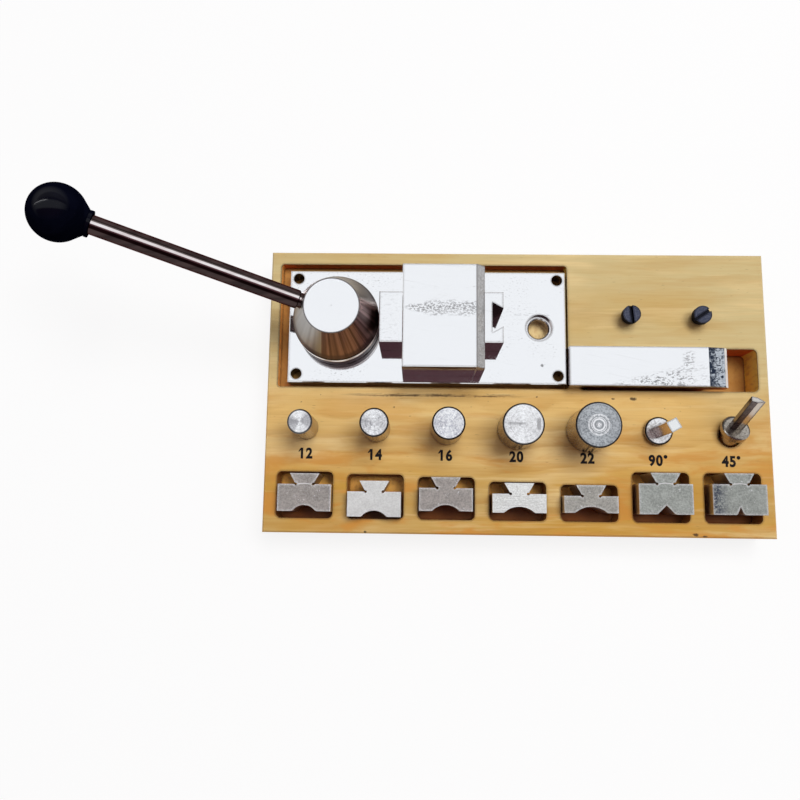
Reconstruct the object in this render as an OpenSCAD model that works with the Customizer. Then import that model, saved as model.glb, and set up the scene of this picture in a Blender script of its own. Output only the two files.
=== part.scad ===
// Lever bender for metal strip and ring stock, stored in a wooden board.
// An eccentric hub turned by a lever drives a slide towards an upright punch.
// Dies hang in the slide's dovetail; punches stand in the plate's bore.
// Sizes are in millimetres. +Z is up, +X to the right, +Y to the back.
// The origin is the middle of the board's underside.

/* [Board] */
// Thickness of the wooden board
board_t = 25; // [22:0.5:40]
// Wood left at the two ends of the press row
board_margin = 5.2; // [3:0.1:20]
// Wood left in front of the die pockets
front_margin = 7.2; // [4:0.1:20]
// Wood left behind the press recess
back_margin = 6.5; // [4:0.1:20]
// Broken edge all round the board
board_edge = 0.8; // [0.3:0.1:2]
// Centre to centre of the seven tool stations
station_pitch = 35.4; // [32:0.1:40]
// Punch row behind the longest die pocket
row_gap = 20.5; // [14:0.1:30]
// Press recess in front edge behind the punch row
press_gap = 21; // [15:0.1:32]

/* [Press plate] */
// Thickness of the steel plate
plate_t = 10; // [8:0.5:16]
// Depth of the recess that holds the plate
recess_depth = 7; // [4:0.5:8]
// Corner radius of the recess
recess_r = 1.5; // [1:0.1:5]
// Room at the left of the plate
plate_room_left = 5.4; // [1:0.1:10]
// Room at the right of the plate
plate_room_right = 1.4; // [0.5:0.1:4]
// Room in front of the plate
plate_room_front = 1.9; // [0.5:0.1:6]
// Room behind the plate
plate_room_back = 4.4; // [1:0.1:10]
// Broken edge round the plate
plate_edge = 0.4; // [0.2:0.1:1]
// Diameter of the four corner holes
hole_d = 5.5; // [4.5:0.1:6.6]
// Corner hole centres in from the plate's edges
hole_inset = 4.3; // [4:0.1:8]
// Plate to the right of the punch bore's centre
bore_edge = 13.6; // [11:0.1:20]
// Diameter of the punch bore
bore_d = 10; // [8:0.1:12]
// Outside diameter of the hardened bush round the bore
bush_d = 13.5; // [13:0.1:18]
// Countersink at the bush's mouth
bush_edge = 0.6; // [0.2:0.1:1]
// Bush sunk below the plate's face
bush_sink = 2.5; // [0:0.1:3]

/* [Bridge and slide] */
// Length of the slide
slide_l = 60.5; // [56:0.5:80]
// Width of the slide
slide_w = 25.2; // [22:0.1:32]
// Height of the slide
slide_h = 20.5; // [16:0.5:28]
// Slide end to punch bore centre, lever at rest
slide_reach = 20.2; // [18:0.1:28]
// Running clearance round the slide
slide_clear = 0.05; // [0.02:0.01:0.1]
// Length of the bridge along the slide
bridge_l = 40; // [34:0.5:44]
// Bridge face to punch bore centre
bridge_reach = 29.3; // [26:0.1:34]
// Thickness of the bridge's side walls
bridge_wall = 12.8; // [10:0.1:18]
// Thickness of the bridge's roof
bridge_roof = 4; // [3:0.1:8]
// Broken edges of the bridge and the slide
block_edge = 0.3; // [0.1:0.05:0.6]
// Chamfer on the bridge's edge towards the punch
bridge_chamfer = 4; // [1:0.1:4]
// Plate showing at each side of the bridge
bridge_side = 3.8; // [1:0.1:10]
// Bridge screw centres in from the bridge's ends
bridge_screw_inset = 8; // [6:0.1:12]
// Length of thread of a bridge screw
bridge_screw_l = 14; // [10:0.5:18]
// Head diameter of a bridge screw
bridge_head_d = 8.5; // [7.5:0.1:9.5]
// Head height of a bridge screw
bridge_head_h = 5; // [4:0.1:5.5]
// Hexagon socket of a bridge screw, across its corners
bridge_socket = 4.5; // [3.5:0.1:5]

/* [Dovetail] */
// Width of a die's tail at its neck
tail_neck = 8.6; // [7:0.1:11]
// Width of a die's tail at its end
tail_wide = 14.6; // [12:0.1:18]
// Length of a die's tail
tail_l = 5.3; // [4:0.1:7]
// Sliding clearance round the tail
tail_clear = 0.15; // [0.05:0.01:0.3]
// Radius of the relief cut into a tail's two corners
relief_r = 0.7; // [0.4:0.1:1]

/* [Lever] */
// Travel of the slide for a full pull of the lever
stroke = 3; // [2:0.1:4]
// Sweep of the lever, in degrees
lever_sweep = 110; // [80:1:120]
// Direction of the lever at rest, in degrees from +X
lever_angle = 164.4; // [150:0.1:180]
// Diameter of the hub's eccentric band
hub_d = 42.8; // [38:0.1:50]
// Diameter of the hub's flat top
hub_top_d = 26.7; // [22:0.1:32]
// Top of the eccentric band above the plate
hub_band = 12.5; // [9:0.1:16]
// Height of the hub above the plate
hub_h = 36; // [32:0.5:44]
// Plate to the left of the hub
hub_side = 3.8; // [1:0.1:10]
// Gap between the hub and the slide at rest
cam_gap = 0.3; // [0.2:0.01:0.5]
// Lever axis above the plate at the hub's middle
rod_height = 22.6; // [20:0.1:26]
// Diameter of the lever rod
rod_d = 9.1; // [8.5:0.1:12]
// Diameter of the threaded ends of the rod
rod_thread_d = 8; // [6:0.1:8]
// Length of thread in the hub
rod_thread_l = 10.5; // [8:0.1:12]
// Diameter of the thread run-out by the hub
rod_neck_d = 7.2; // [5:0.1:7.6]
// Length of rod bared outside the hub
rod_neck_l = 1.2; // [0.5:0.1:3]
// Hub axis to ball centre, along the rod
lever_reach = 130.7; // [110:0.1:180]
// Diameter of the ball knob
ball_d = 26.2; // [22:0.1:36]
// Diameter of the knob's collar
collar_knob_d = 12.4; // [11.5:0.1:16]
// Length of the knob's collar
collar_knob_l = 1.4; // [0.5:0.1:4]
// Diameter of the knob's taper where it meets the collar
taper_d = 11.4; // [10:0.1:15]
// Outside diameter of the knob's threaded insert
insert_d = 11; // [10:0.1:12]
// Insert moulded in below the collar's face
insert_sink = 2.4; // [1:0.1:4]
// Length of the knob's threaded insert
insert_l = 11; // [9:0.1:13]

/* [Pivot] */
// Diameter of the pivot shaft
pivot_d = 14; // [12:0.1:16]
// Shaft set into the hub
pivot_seat = 15; // [10:0.5:16]
// Wall of the bronze bush
pivot_bush_wall = 2; // [1.5:0.1:3]
// Radial running clearance of the shaft
pivot_fit = 0.03; // [0.01:0.01:0.1]
// Thickness of the thrust washer
washer_t = 1; // [0.5:0.1:2]
// Outside diameter of the thrust washer
washer_d = 30; // [24:0.5:36]
// Thickness of the retaining ring
ring_t = 1; // [0.8:0.1:1.5]
// Radial width of the retaining ring
ring_w = 3.6; // [3:0.1:5]
// Depth of the shaft groove for the ring
ring_groove = 0.6; // [0.4:0.1:1]
// Depth of the recess under the plate for the ring
ring_recess = 3.5; // [3:0.1:5]
// Room round the ring in its recess
ring_room = 1; // [0.5:0.1:2]

/* [Return spring] */
// Outside diameter of the spring
spring_d = 5.2; // [4:0.1:6]
// Diameter of the spring wire
spring_wire = 0.7; // [0.5:0.1:1]
// Number of coils
spring_coils = 9; // [6:1:12]
// Length of the spring at rest
spring_l = 20.5; // [16:0.5:22]
// Diameter of the stop pin
stop_d = 6; // [5:0.1:7]
// Stop pin above the plate
stop_h = 6; // [5:0.1:8]
// Stop pin to the bridge's face
stop_inset = 10; // [8:0.1:14]
// Room round the pin in the slide's groove
stop_room = 0.3; // [0.2:0.05:0.6]

/* [Punches] */
// Diameter of the first round punch
round_1 = 12; // [11:0.5:13]
// Diameter of the second round punch
round_2 = 14; // [13:0.5:15]
// Diameter of the third round punch
round_3 = 16; // [15:0.5:18]
// Diameter of the fourth round punch
round_4 = 20; // [18:0.5:21]
// Diameter of the fifth round punch
round_5 = 22; // [21:0.5:24]
// Working height of a round punch
punch_h = 25.5; // [22:0.5:30]
// Broken edges of the punches
punch_edge = 0.5; // [0.2:0.1:1]
// Length of a punch's shank
shank_l = 9.5; // [8:0.5:10]
// Radial clearance of a shank in the plate's bore
shank_fit = 0.03; // [0.01:0.01:0.1]
// Room round a shank in the board
shank_room = 0.3; // [0.2:0.05:0.5]
// Depth of the board's punch holes below a shank
shank_well = 1.5; // [0.5:0.1:4]
// Diameter of the angle punches' collars
collar_d = 14; // [13.8:0.1:18]
// Height of the collars
collar_h = 3.6; // [2.5:0.1:5]
// Width across the flats of the square blade
blade_w = 5.4; // [4.5:0.1:6.5]
// Height of the blades above their collars
blade_h = 24; // [20:0.5:30]
// Depth of a blade in its collar
blade_seat = 6; // [4:0.1:8]
// Turn of the square blade, in degrees
blade_turn = 29; // [0:1:45]
// Thickness of the sharp blade
edge_t = 3; // [2.5:0.1:4]
// Length of the sharp blade's section
edge_l = 6.6; // [6:0.1:8]
// Square punch standing left of its loose hole's middle
square_set = 0.9; // [0:0.1:1]
// Lean of the sharp punch in its loose hole, in degrees
lean = 26; // [8:1:28]
// Turn of that lean from straight back to the right, in degrees
lean_turn = 13.5; // [0:0.5:30]
// Sharp punch's hole in front of the row
sharp_set = 1.6; // [0:0.1:3]
// Length of the sharp punch's shank
sharp_shank = 7; // [6:0.5:9]
// Room round the leaning punch
lean_room = 0.25; // [0.2:0.05:0.5]

/* [Dies] */
// Width of a die
die_w = 26.3; // [22:0.1:28]
// Height of a die
die_h = 20; // [16:0.5:26]
// Depth of a round die's hollow
arc_depth = 3; // [2:0.1:4]
// Strip thickness left between punch and die
strip_t = 1; // [0.5:0.1:2]
// Body length of the angle dies
angle_l = 14.8; // [12:0.1:18]
// Depth of the right-angle notch
notch_square = 4.4; // [3:0.1:6]
// Depth of the sharp notch
notch_sharp = 4; // [3:0.1:6]
// Radius of the notches' lips
lip_r = 1.6; // [0.8:0.1:2.5]
// Depth of the die pockets
pocket_depth = 13; // [8:0.5:16]
// Side room of a die in its pocket
pocket_side = 0.95; // [0.3:0.05:1.5]
// End room of a die in its pocket
pocket_room = 4.6; // [4:0.1:8]
// Corner radius of the pockets
pocket_r = 2.5; // [1:0.1:4]

/* [Vice bar] */
// Width of the bar
bar_w = 19.9; // [16:0.1:26]
// Height of the bar's head above the board
bar_head = 9; // [6:0.1:14]
// Height of the bar's tongue
bar_tongue = 17; // [10:0.5:18]
// Head standing out at each end of the tongue
bar_step = 10.2; // [5:0.1:14]
// Tongue beyond its two tapped holes
tongue_end = 4.4; // [4:0.1:10]
// Gap between the bar and the plate
bar_gap = 0.5; // [0.3:0.1:2]
// Side room of the tongue in its pocket
bar_room = 1; // [0.2:0.05:1.5]
// End room of the tongue under the bar's left end
bar_end_room = 4; // [2.6:0.1:6]
// Bar's front face behind the recess's front edge
bar_set = 0.65; // [0:0.05:2]
// Finger room at the right of the tongue
finger_room = 27.5; // [18:0.1:40]
// Length of the bevel on the bar's right end
bevel_l = 8.6; // [3:0.1:10]
// Fall of the bevel
bevel_drop = 2; // [1:0.1:4]
// Broken edge at the bevel's foot
bevel_edge = 1.7; // [0.5:0.1:2.5]

/* [Bar screws] */
// Thread diameter of the screws
screw_d = 5; // [4:0.1:5.2]
// Length of thread
screw_l = 20; // [18:0.5:26]
// Diameter of the head
head_d = 9; // [7.5:0.1:10]
// Height of the head
head_h = 3.8; // [3:0.1:5]
// Width of the driver slot
slot_w = 1.5; // [0.8:0.1:1.8]
// Depth of the driver slot
slot_depth = 1.7; // [1:0.1:2.2]
// Depth of the screw holes in the board
screw_hole = 15; // [12:0.5:17]
// Left screw from the recess's edge
screw_inset = 30.7; // [20:0.1:45]
// Screw row behind the bar's pocket
screw_gap = 15.8; // [10:0.1:30]
// Turn of the left screw's slot, in degrees
slot_turn_left = 96; // [0:1:180]
// Turn of the right screw's slot, in degrees
slot_turn_right = 34; // [0:1:180]

/* [Hidden] */
$fn = 72;
// Which piece to build

// Overrun of cutters past the faces they cut
cut = 1;
// Clearance of pieces pressed or screwed together
snug = 0.02;
// Clearance of faces that turn on each other
glide = 0.05;
// Clearance of screws and shafts in their through holes
loose = 0.1;
// Least gap between a square corner and a round one
corner_gap = 0.1;
// Small overlap of a rounded lip into the flats that it joins
lip_sink = 0.02;
// Sides of the spring's wire and steps in one coil
spring_sides = 6;
spring_steps = 16;

// Plate built up from the train that it carries
plate_l = hub_side + hub_d + cam_gap + slide_l + slide_reach + bore_edge;
bridge_w = slide_w + 2 * slide_clear + 2 * bridge_wall;
bridge_h = slide_h + 2 * slide_clear + bridge_roof;
plate_w = bridge_w + 2 * bridge_side;
hole_span_x = plate_l - 2 * hole_inset;
hole_span_y = plate_w - 2 * hole_inset;

// Vice bar and its pocket
tongue_l = hole_span_y + 2 * tongue_end;
bar_l = tongue_l + 2 * bar_step;
bar_pocket_l = tongue_l + bar_end_room + finger_room;
bar_pocket_w = bar_w + 2 * bar_room;

// Round punches and the dies made to suit them
rounds = [round_1, round_2, round_3, round_4, round_5];
work_gap = stroke + strip_t;
function round_l(i) = slide_reach - rounds[i] / 2 - work_gap + arc_depth;
die_l = [for (i = [0:6]) i < len(rounds) ? round_l(i) : angle_l];
pocket_w = die_w + 2 * pocket_side;
pocket_l = [for (l = die_l) l + tail_l + pocket_room];
pocket_max = max(pocket_l);

// Room in front of a square corner that stands s away from the side of a pocket with corner radius r
function corner_room(r, s) = r - sqrt(max(0, pow(r - corner_gap, 2) - pow(r - s, 2)));

// Where each die was left in its pocket: share of the side room used to the right, and room behind it
die_lean = [0.75, -0.3, -0.5, 0, -0.45, 0.5, 0.85];
die_back = [1.3, 3.6, 0.4, 0.8, 0.4, 0.6, 0.4];
function die_shift(i) = pocket_side * die_lean[i];
function die_front(i) = max(pocket_room - die_back[i], corner_room(pocket_r, pocket_side - abs(die_shift(i))));

// Board size from what it holds
press_row_l = plate_room_left + plate_l + bar_gap + bar_step - bar_end_room + bar_pocket_l;
station_row_l = (len(die_l) - 1) * station_pitch + pocket_w;
board_l = 2 * board_margin + max(press_row_l, station_row_l);
recess_w = plate_room_front + plate_w + plate_room_back;
recess_l = plate_room_left + plate_l + plate_room_right;
board_w = front_margin + pocket_max + row_gap + press_gap + recess_w + back_margin;

// Places along X
board_x0 = -board_l / 2;
recess_x0 = board_x0 + board_margin;
plate_x0 = recess_x0 + plate_room_left;
plate_x1 = plate_x0 + plate_l;
bore_x = plate_x1 - bore_edge;
slide_x1 = bore_x - slide_reach;
slide_x0 = slide_x1 - slide_l;
hub_x = slide_x0 - cam_gap - hub_d / 2;
bridge_x1 = bore_x - bridge_reach;
bridge_x0 = bridge_x1 - bridge_l;
stop_x = bridge_x1 - stop_inset;
bar_x0 = plate_x1 + bar_gap;
bar_pocket_x0 = bar_x0 + bar_step - bar_end_room;
screw_x = recess_x0 + recess_l + screw_inset;
function station_x(i) = (i - (len(die_l) - 1) / 2) * station_pitch;

// Places along Y
board_y0 = -board_w / 2;
pocket_y0 = board_y0 + front_margin;
punch_y = pocket_y0 + pocket_max + row_gap;
recess_y0 = punch_y + press_gap;
plate_y0 = recess_y0 + plate_room_front;
mid_y = plate_y0 + plate_w / 2;
bar_y0 = recess_y0 + bar_set;
screw_y = bar_y0 + bar_w + bar_room + screw_gap;

// Places along Z
plate_z0 = board_t - recess_depth;
plate_z1 = plate_z0 + plate_t;

// Eccentric: the band's middle swings round the pivot, half the sweep each side of square
throw = stroke / (2 * sin(lever_sweep / 2));
hub_y = mid_y + throw * cos(lever_sweep / 2);
pivot_x = hub_x + throw * sin(lever_sweep / 2);
hub_z0 = plate_z1 + washer_t + glide;
pivot_bush_d = pivot_d + 2 * pivot_fit + 2 * pivot_bush_wall;
ring_d = pivot_d - 2 * ring_groove + 2 * ring_w;
ring_z = plate_z0 + ring_recess - 2 * glide - ring_t;

// Lever rod leaves the cone square to its side
lever_rise = atan((hub_d - hub_top_d) / 2 / (hub_h - hub_band));
flank = (hub_d / 2 - (rod_height - hub_band) * tan(lever_rise)) * cos(lever_rise);

// Knob: a ball with a taper all but tangent to it, down to the collar
taper_angle = 2 * atan(taper_d / ball_d);
taper_l = ball_d / 2 * (1 - cos(taper_angle));
knob_face = lever_reach - ball_d / 2 - collar_knob_l;

// Slide's groove for the stop pin and spring
groove_w = stop_d + 2 * stop_room;
groove_h = stop_h + stop_room;
groove_x0 = stop_x - stop_d / 2 - spring_l;
groove_x1 = stop_x + stop_d / 2 + stop_room;
spring_r = (spring_d - spring_wire) / 2;
spring_pitch = (spring_l - spring_wire - 2 * glide) / spring_coils;
echo(spring_least_gap = spring_pitch - spring_wire);

// Shanks and their holes
shank_r = bore_d / 2 - shank_fit;
shank_hole = 2 * (shank_r + shank_room);
well = shank_l + shank_well;
collar_r = collar_d / 2;
lean_lift = collar_r * sin(lean) + lean_room;
lean_back = (shank_r - lean_lift * sin(lean)) / cos(lean) + lean_room;
lean_front = sharp_shank * sin(lean) + shank_r * cos(lean) + lean_room;
angle_hole = [shank_hole + 2 * square_set, lean_back + lean_front];
lean_y = (lean_front - lean_back) / 2;

steel = [0.86, 0.87, 0.88];
grey_steel = [0.62, 0.63, 0.64];
bronze = [0.72, 0.52, 0.28];
black = [0.1, 0.1, 0.11];
pine = [0.86, 0.72, 0.46];

// Block with broken edges round its top and foot; corner at the origin
module block(l, w, h, e) {
    difference() {
        cube([l, w, h]);
        for (z = [0, h]) {
            for (y = [0, w]) translate([l / 2, y, z]) rotate([45, 0, 0])
                cube([l + 2 * cut, e * sqrt(2), e * sqrt(2)], center = true);
            for (x = [0, l]) translate([x, w / 2, z]) rotate([0, 45, 0])
                cube([e * sqrt(2), w + 2 * cut, e * sqrt(2)], center = true);
        }
    }
}

// Pocket cutter with rounded corners, its floor at z = 0; corner at the origin
module pocket(l, w, h, r) {
    translate([r, 0, 0]) cube([l - 2 * r, w, h]);
    translate([0, r, 0]) cube([l, w - 2 * r, h]);
    for (x = [r, l - r], y = [r, w - r]) translate([x, y, 0]) cylinder(r = r, h = h);
}

module wood_base() {
    color(pine) difference() {
        translate([board_x0, board_y0, 0]) block(board_l, board_w, board_t, board_edge);
        translate([recess_x0, recess_y0, plate_z0])
            pocket(recess_l, recess_w, recess_depth + cut, recess_r);
        translate([bar_pocket_x0, bar_y0 - bar_room, board_t - bar_tongue])
            pocket(bar_pocket_l, bar_pocket_w, bar_tongue + cut, pocket_r);
        for (i = [0:len(die_l) - 1]) {
            translate([station_x(i) - pocket_w / 2, pocket_y0, board_t - pocket_depth])
                pocket(pocket_w, pocket_l[i], pocket_depth + cut, pocket_r);
            translate([station_x(i), punch_y - (i == 6 ? sharp_set : 0), board_t - well])
                cylinder(d = i < len(rounds) ? shank_hole : angle_hole[i - len(rounds)], h = well + cut);
        }
        for (i = [0, 1]) translate([screw_x + i * station_pitch, screw_y, board_t - screw_hole])
            cylinder(d = screw_d + 2 * shank_room, h = screw_hole + cut);
    }
}

module bridge_screw_places() {
    for (x = [bridge_x0 + bridge_screw_inset, bridge_x1 - bridge_screw_inset], s = [-1, 1])
        translate([x, mid_y + s * (bridge_w - bridge_wall) / 2, plate_z0]) children();
}

module base_plate() {
    color(steel) difference() {
        translate([plate_x0, plate_y0, plate_z0]) block(plate_l, plate_w, plate_t, plate_edge);
        for (x = [-1, 1], y = [-1, 1])
            translate([(plate_x0 + plate_x1 + x * hole_span_x) / 2, mid_y + y * hole_span_y / 2, plate_z0 - cut])
                cylinder(d = hole_d, h = plate_t + 2 * cut);
        translate([bore_x, mid_y, plate_z0 - cut]) cylinder(d = bush_d + 2 * snug, h = plate_t + 2 * cut);
        translate([pivot_x, mid_y, plate_z0 - cut])
            cylinder(d = pivot_bush_d + 2 * snug, h = plate_t + 2 * cut);
        translate([pivot_x, mid_y, plate_z0 - cut]) cylinder(d = ring_d + 2 * ring_room, h = ring_recess + cut);
        bridge_screw_places() {
            translate([0, 0, -cut]) cylinder(d = screw_d + 2 * loose, h = plate_t + 2 * cut);
            translate([0, 0, -cut]) cylinder(d = bridge_head_d + 2 * loose, h = bridge_head_h + glide + cut);
        }
        translate([stop_x, mid_y, plate_z0 - cut]) cylinder(d = stop_d + 2 * snug, h = plate_t + 2 * cut);
    }
}

module punch_bush() {
    bush_h = plate_t - bush_sink;
    color(grey_steel) translate([bore_x, mid_y, plate_z0]) rotate_extrude() polygon([
        [bore_d / 2, 0], [bush_d / 2, 0], [bush_d / 2, bush_h], [bore_d / 2 + bush_edge, bush_h],
        [bore_d / 2, bush_h - bush_edge]]);
}

module bridge() {
    color(steel) difference() {
        translate([bridge_x0, mid_y - bridge_w / 2, plate_z1]) difference() {
            block(bridge_l, bridge_w, bridge_h, block_edge);
            translate([bridge_l, bridge_w / 2, bridge_h]) rotate([0, 45, 0])
                cube([bridge_chamfer * sqrt(2), bridge_w + 2 * cut, bridge_chamfer * sqrt(2)], center = true);
        }
        translate([bridge_x0 - cut, mid_y - slide_w / 2 - slide_clear, plate_z1 - cut])
            cube([bridge_l + 2 * cut, slide_w + 2 * slide_clear, slide_h + 2 * slide_clear + cut]);
        bridge_screw_places() translate([0, 0, bridge_head_h])
            cylinder(d = screw_d + 2 * snug, h = bridge_screw_l + cut);
    }
}

module bridge_screws() {
    color(black) bridge_screw_places() difference() {
        translate([0, 0, glide]) union() {
            cylinder(d = bridge_head_d, h = bridge_head_h);
            cylinder(d = screw_d, h = bridge_head_h + bridge_screw_l);
        }
        cylinder(d = bridge_socket, h = bridge_head_h / 2, $fn = 6);
    }
}

module slide() {
    color(steel) difference() {
        translate([slide_x0, mid_y - slide_w / 2, plate_z1 + slide_clear])
            block(slide_l, slide_w, slide_h, block_edge);
        translate([slide_x1, mid_y, plate_z1 - cut]) rotate([0, 0, 90])
            linear_extrude(height = slide_h + 3 * cut) tail_outline(tail_clear, cut);
        translate([groove_x0, mid_y - groove_w / 2, plate_z1 - cut])
            cube([groove_x1 - groove_x0, groove_w, groove_h + cut]);
    }
}

// Dovetail in plan, neck on the X axis, its end towards +Y; grown by c and run on by e past the neck
module tail_outline(c, e) {
    slope = (tail_wide - tail_neck) / 2 / tail_l;
    polygon([[-tail_neck / 2 - c + slope * e, -e], [tail_neck / 2 + c - slope * e, -e],
        [tail_wide / 2 + c + slope * c, tail_l + c], [-tail_wide / 2 - c - slope * c, tail_l + c]]);
}

// Points of one ring of the spring wire, at turn a along the coil
function spring_ring(k) = let (a = 360 * k / spring_steps, x = spring_pitch * k / spring_steps)
    [for (j = [0:spring_sides - 1]) let (b = 360 * j / spring_sides, r = spring_r + spring_wire / 2 * cos(b))
        [x + spring_wire / 2 * sin(b), r * cos(a), r * sin(a)]];

module return_spring() {
    rings = spring_coils * spring_steps;
    points = [for (k = [0:rings]) each spring_ring(k)];
    n = spring_sides;
    walls = [for (k = [0:rings - 1], j = [0:n - 1]) let (p = k * n + j, q = k * n + (j + 1) % n)
        each [[p, q, q + n], [p, q + n, p + n]]];
    ends = [for (j = [1:n - 2]) each [[0, j + 1, j], [rings * n, rings * n + j, rings * n + j + 1]]];
    color(grey_steel) translate([groove_x0 + spring_wire / 2 + glide, mid_y, plate_z1 + groove_h / 2])
        polyhedron(points, concat(walls, ends));
}

module stop_pin() {
    color(grey_steel) translate([stop_x, mid_y, plate_z0]) cylinder(d = stop_d, h = plate_t + stop_h);
}

// Frame of the lever rod: origin on the hub's axis, +Z along the rod
module along_rod() {
    translate([hub_x, hub_y, plate_z1 + rod_height]) rotate([0, 0, lever_angle]) rotate([0, 90 - lever_rise, 0])
        children();
}

module cam_hub() {
    color(steel) difference() {
        translate([hub_x, hub_y, 0]) rotate_extrude() polygon([
            [0, hub_z0], [hub_d / 2 - plate_edge, hub_z0], [hub_d / 2, hub_z0 + plate_edge],
            [hub_d / 2, plate_z1 + hub_band], [hub_top_d / 2, plate_z1 + hub_h], [0, plate_z1 + hub_h]]);
        translate([pivot_x, mid_y, hub_z0 - cut]) cylinder(d = pivot_d + 2 * snug, h = pivot_seat + cut);
        along_rod() translate([0, 0, flank - rod_thread_l])
            cylinder(d = rod_thread_d + 2 * snug, h = rod_thread_l + cut);
    }
}

module pivot_shaft() {
    color(grey_steel) translate([pivot_x, mid_y, plate_z0]) difference() {
        translate([0, 0, loose]) cylinder(d = pivot_d, h = hub_z0 + pivot_seat - plate_z0 - loose);
        translate([0, 0, ring_z - plate_z0 - glide]) difference() {
            cylinder(d = pivot_d + cut, h = ring_t + 2 * glide);
            translate([0, 0, -cut]) cylinder(d = pivot_d - 2 * ring_groove, h = ring_t + 3 * cut);
        }
    }
}

module pivot_bush() {
    color(bronze) translate([pivot_x, mid_y, plate_z0 + ring_recess]) difference() {
        cylinder(d = pivot_bush_d, h = plate_t - ring_recess);
        translate([0, 0, -cut]) cylinder(d = pivot_d + 2 * pivot_fit, h = plate_t + cut);
    }
}

module thrust_washer() {
    color(bronze) translate([pivot_x, mid_y, plate_z1]) difference() {
        cylinder(d = washer_d, h = washer_t);
        translate([0, 0, -cut]) cylinder(d = pivot_d + 2 * loose, h = washer_t + 2 * cut);
    }
}

module retaining_ring() {
    bore = pivot_d - 2 * ring_groove + 2 * snug;
    color(black) translate([pivot_x, mid_y, ring_z]) difference() {
        cylinder(d = ring_d, h = ring_t);
        translate([0, 0, -cut]) cylinder(d = bore, h = ring_t + 2 * cut);
        translate([0, -ring_w / 2, -cut]) cube([ring_d, ring_w, ring_t + 2 * cut]);
    }
}

module lever_rod() {
    color(steel) along_rod() rotate_extrude() polygon([
        [0, flank - rod_thread_l + snug], [rod_thread_d / 2, flank - rod_thread_l + snug],
        [rod_thread_d / 2, flank - rod_neck_l / 2], [rod_neck_d / 2, flank - rod_neck_l / 2],
        [rod_neck_d / 2, flank + rod_neck_l], [rod_d / 2 - punch_edge, flank + rod_neck_l],
        [rod_d / 2, flank + rod_neck_l + punch_edge], [rod_d / 2, knob_face],
        [rod_thread_d / 2, knob_face], [rod_thread_d / 2, knob_face + insert_sink + insert_l - snug],
        [0, knob_face + insert_sink + insert_l - snug]]);
}

module ball_knob() {
    color(black) along_rod() difference() {
        union() {
            translate([0, 0, lever_reach]) sphere(d = ball_d);
            translate([0, 0, knob_face + collar_knob_l])
                cylinder(d1 = taper_d, d2 = ball_d * sin(taper_angle) - 4 * lip_sink, h = taper_l);
            translate([0, 0, knob_face]) cylinder(d = collar_knob_d, h = collar_knob_l);
        }
        translate([0, 0, knob_face - cut]) cylinder(d = rod_thread_d + 2 * snug, h = insert_sink + 2 * cut);
        translate([0, 0, knob_face + insert_sink]) cylinder(d = insert_d + 2 * snug, h = insert_l);
    }
}

module knob_insert() {
    color(bronze) along_rod() translate([0, 0, knob_face + insert_sink]) difference() {
        cylinder(d = insert_d, h = insert_l);
        translate([0, 0, -cut]) cylinder(d = rod_thread_d + 2 * snug, h = insert_l + 2 * cut);
    }
}

// Turned shank of length l below z = 0 and a body of diameter d and height h above it
module turned_punch(d, h, l = shank_l) {
    rotate_extrude() polygon([
        [0, -l], [shank_r - punch_edge, -l], [shank_r, punch_edge - l], [shank_r, 0],
        [d / 2 - punch_edge, 0], [d / 2, punch_edge], [d / 2, h - punch_edge], [d / 2 - punch_edge, h], [0, h]]);
}

module round_punch(i) {
    color(steel) translate([station_x(i), punch_y, board_t]) turned_punch(rounds[i], punch_h);
}

module punch_12() round_punch(0);
module punch_14() round_punch(1);
module punch_16() round_punch(2);
module punch_20() round_punch(3);
module punch_22() round_punch(4);

// The square punch stands upright; the sharp one leans back in its loose hole
module at_square() translate([station_x(5) - square_set, punch_y, board_t]) children();
module at_sharp()
    translate([station_x(6), punch_y - sharp_set, board_t + lean_lift]) rotate([0, 0, -lean_turn])
        translate([0, lean_y, 0]) rotate([-lean, 0, 0]) children();

module square_blade(c) {
    w = blade_w + 2 * c;
    rotate([0, 0, blade_turn]) translate([-w / 2, -w / 2, collar_h - blade_seat])
        cube([w, w, blade_h + blade_seat]);
}

module sharp_blade(c) {
    t = edge_t / 2 + c;
    shoulder = edge_l / 2 - edge_t / 2 / tan(45 / 2);
    translate([0, 0, collar_h - blade_seat]) linear_extrude(height = blade_h + blade_seat)
        polygon([[-edge_l / 2 - c, -t], [shoulder, -t], [edge_l / 2 + 2 * c, 0], [shoulder, t], [-edge_l / 2 - c, t]]);
}

module punch_90() {
    color(steel) at_square() difference() { turned_punch(collar_d, collar_h); square_blade(snug); }
}

module blade_90() {
    color(steel) at_square() square_blade(0);
}

module punch_45() {
    color(steel) at_sharp() difference() { turned_punch(collar_d, collar_h, sharp_shank); sharp_blade(snug); }
}

module blade_45() {
    color(steel) at_sharp() sharp_blade(0);
}

// Die standing in pocket i: tail to the back, working face to the front
module die_place(i) {
    translate([station_x(i) + die_shift(i), pocket_y0 + die_front(i) + die_l[i], board_t - pocket_depth]) children();
}

module die_blank(l) {
    difference() {
        union() {
            linear_extrude(height = die_h) tail_outline(0, 0);
            translate([-die_w / 2, -l, 0]) cube([die_w, l, die_h]);
        }
        for (s = [-1, 1]) translate([s * tail_neck / 2, 0, -cut]) cylinder(r = relief_r, h = die_h + 2 * cut);
    }
}

// Cutter that rounds one lip of a hollow of radius r and depth d, on the side s
module hollow_lip(r, d, s) {
    reach = r + lip_r;
    rise = reach - d;
    mouth = sqrt(reach * reach - rise * rise);
    inner = (reach - lip_r - lip_r / 2) / reach;
    difference() {
        polygon([[s * mouth, -cut], [s * mouth, lip_r], [s * mouth * inner, lip_r - rise * (1 - inner)],
            [s * mouth * inner, -cut]]);
        translate([s * mouth, lip_r - lip_sink]) circle(r = lip_r);
    }
}

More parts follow.
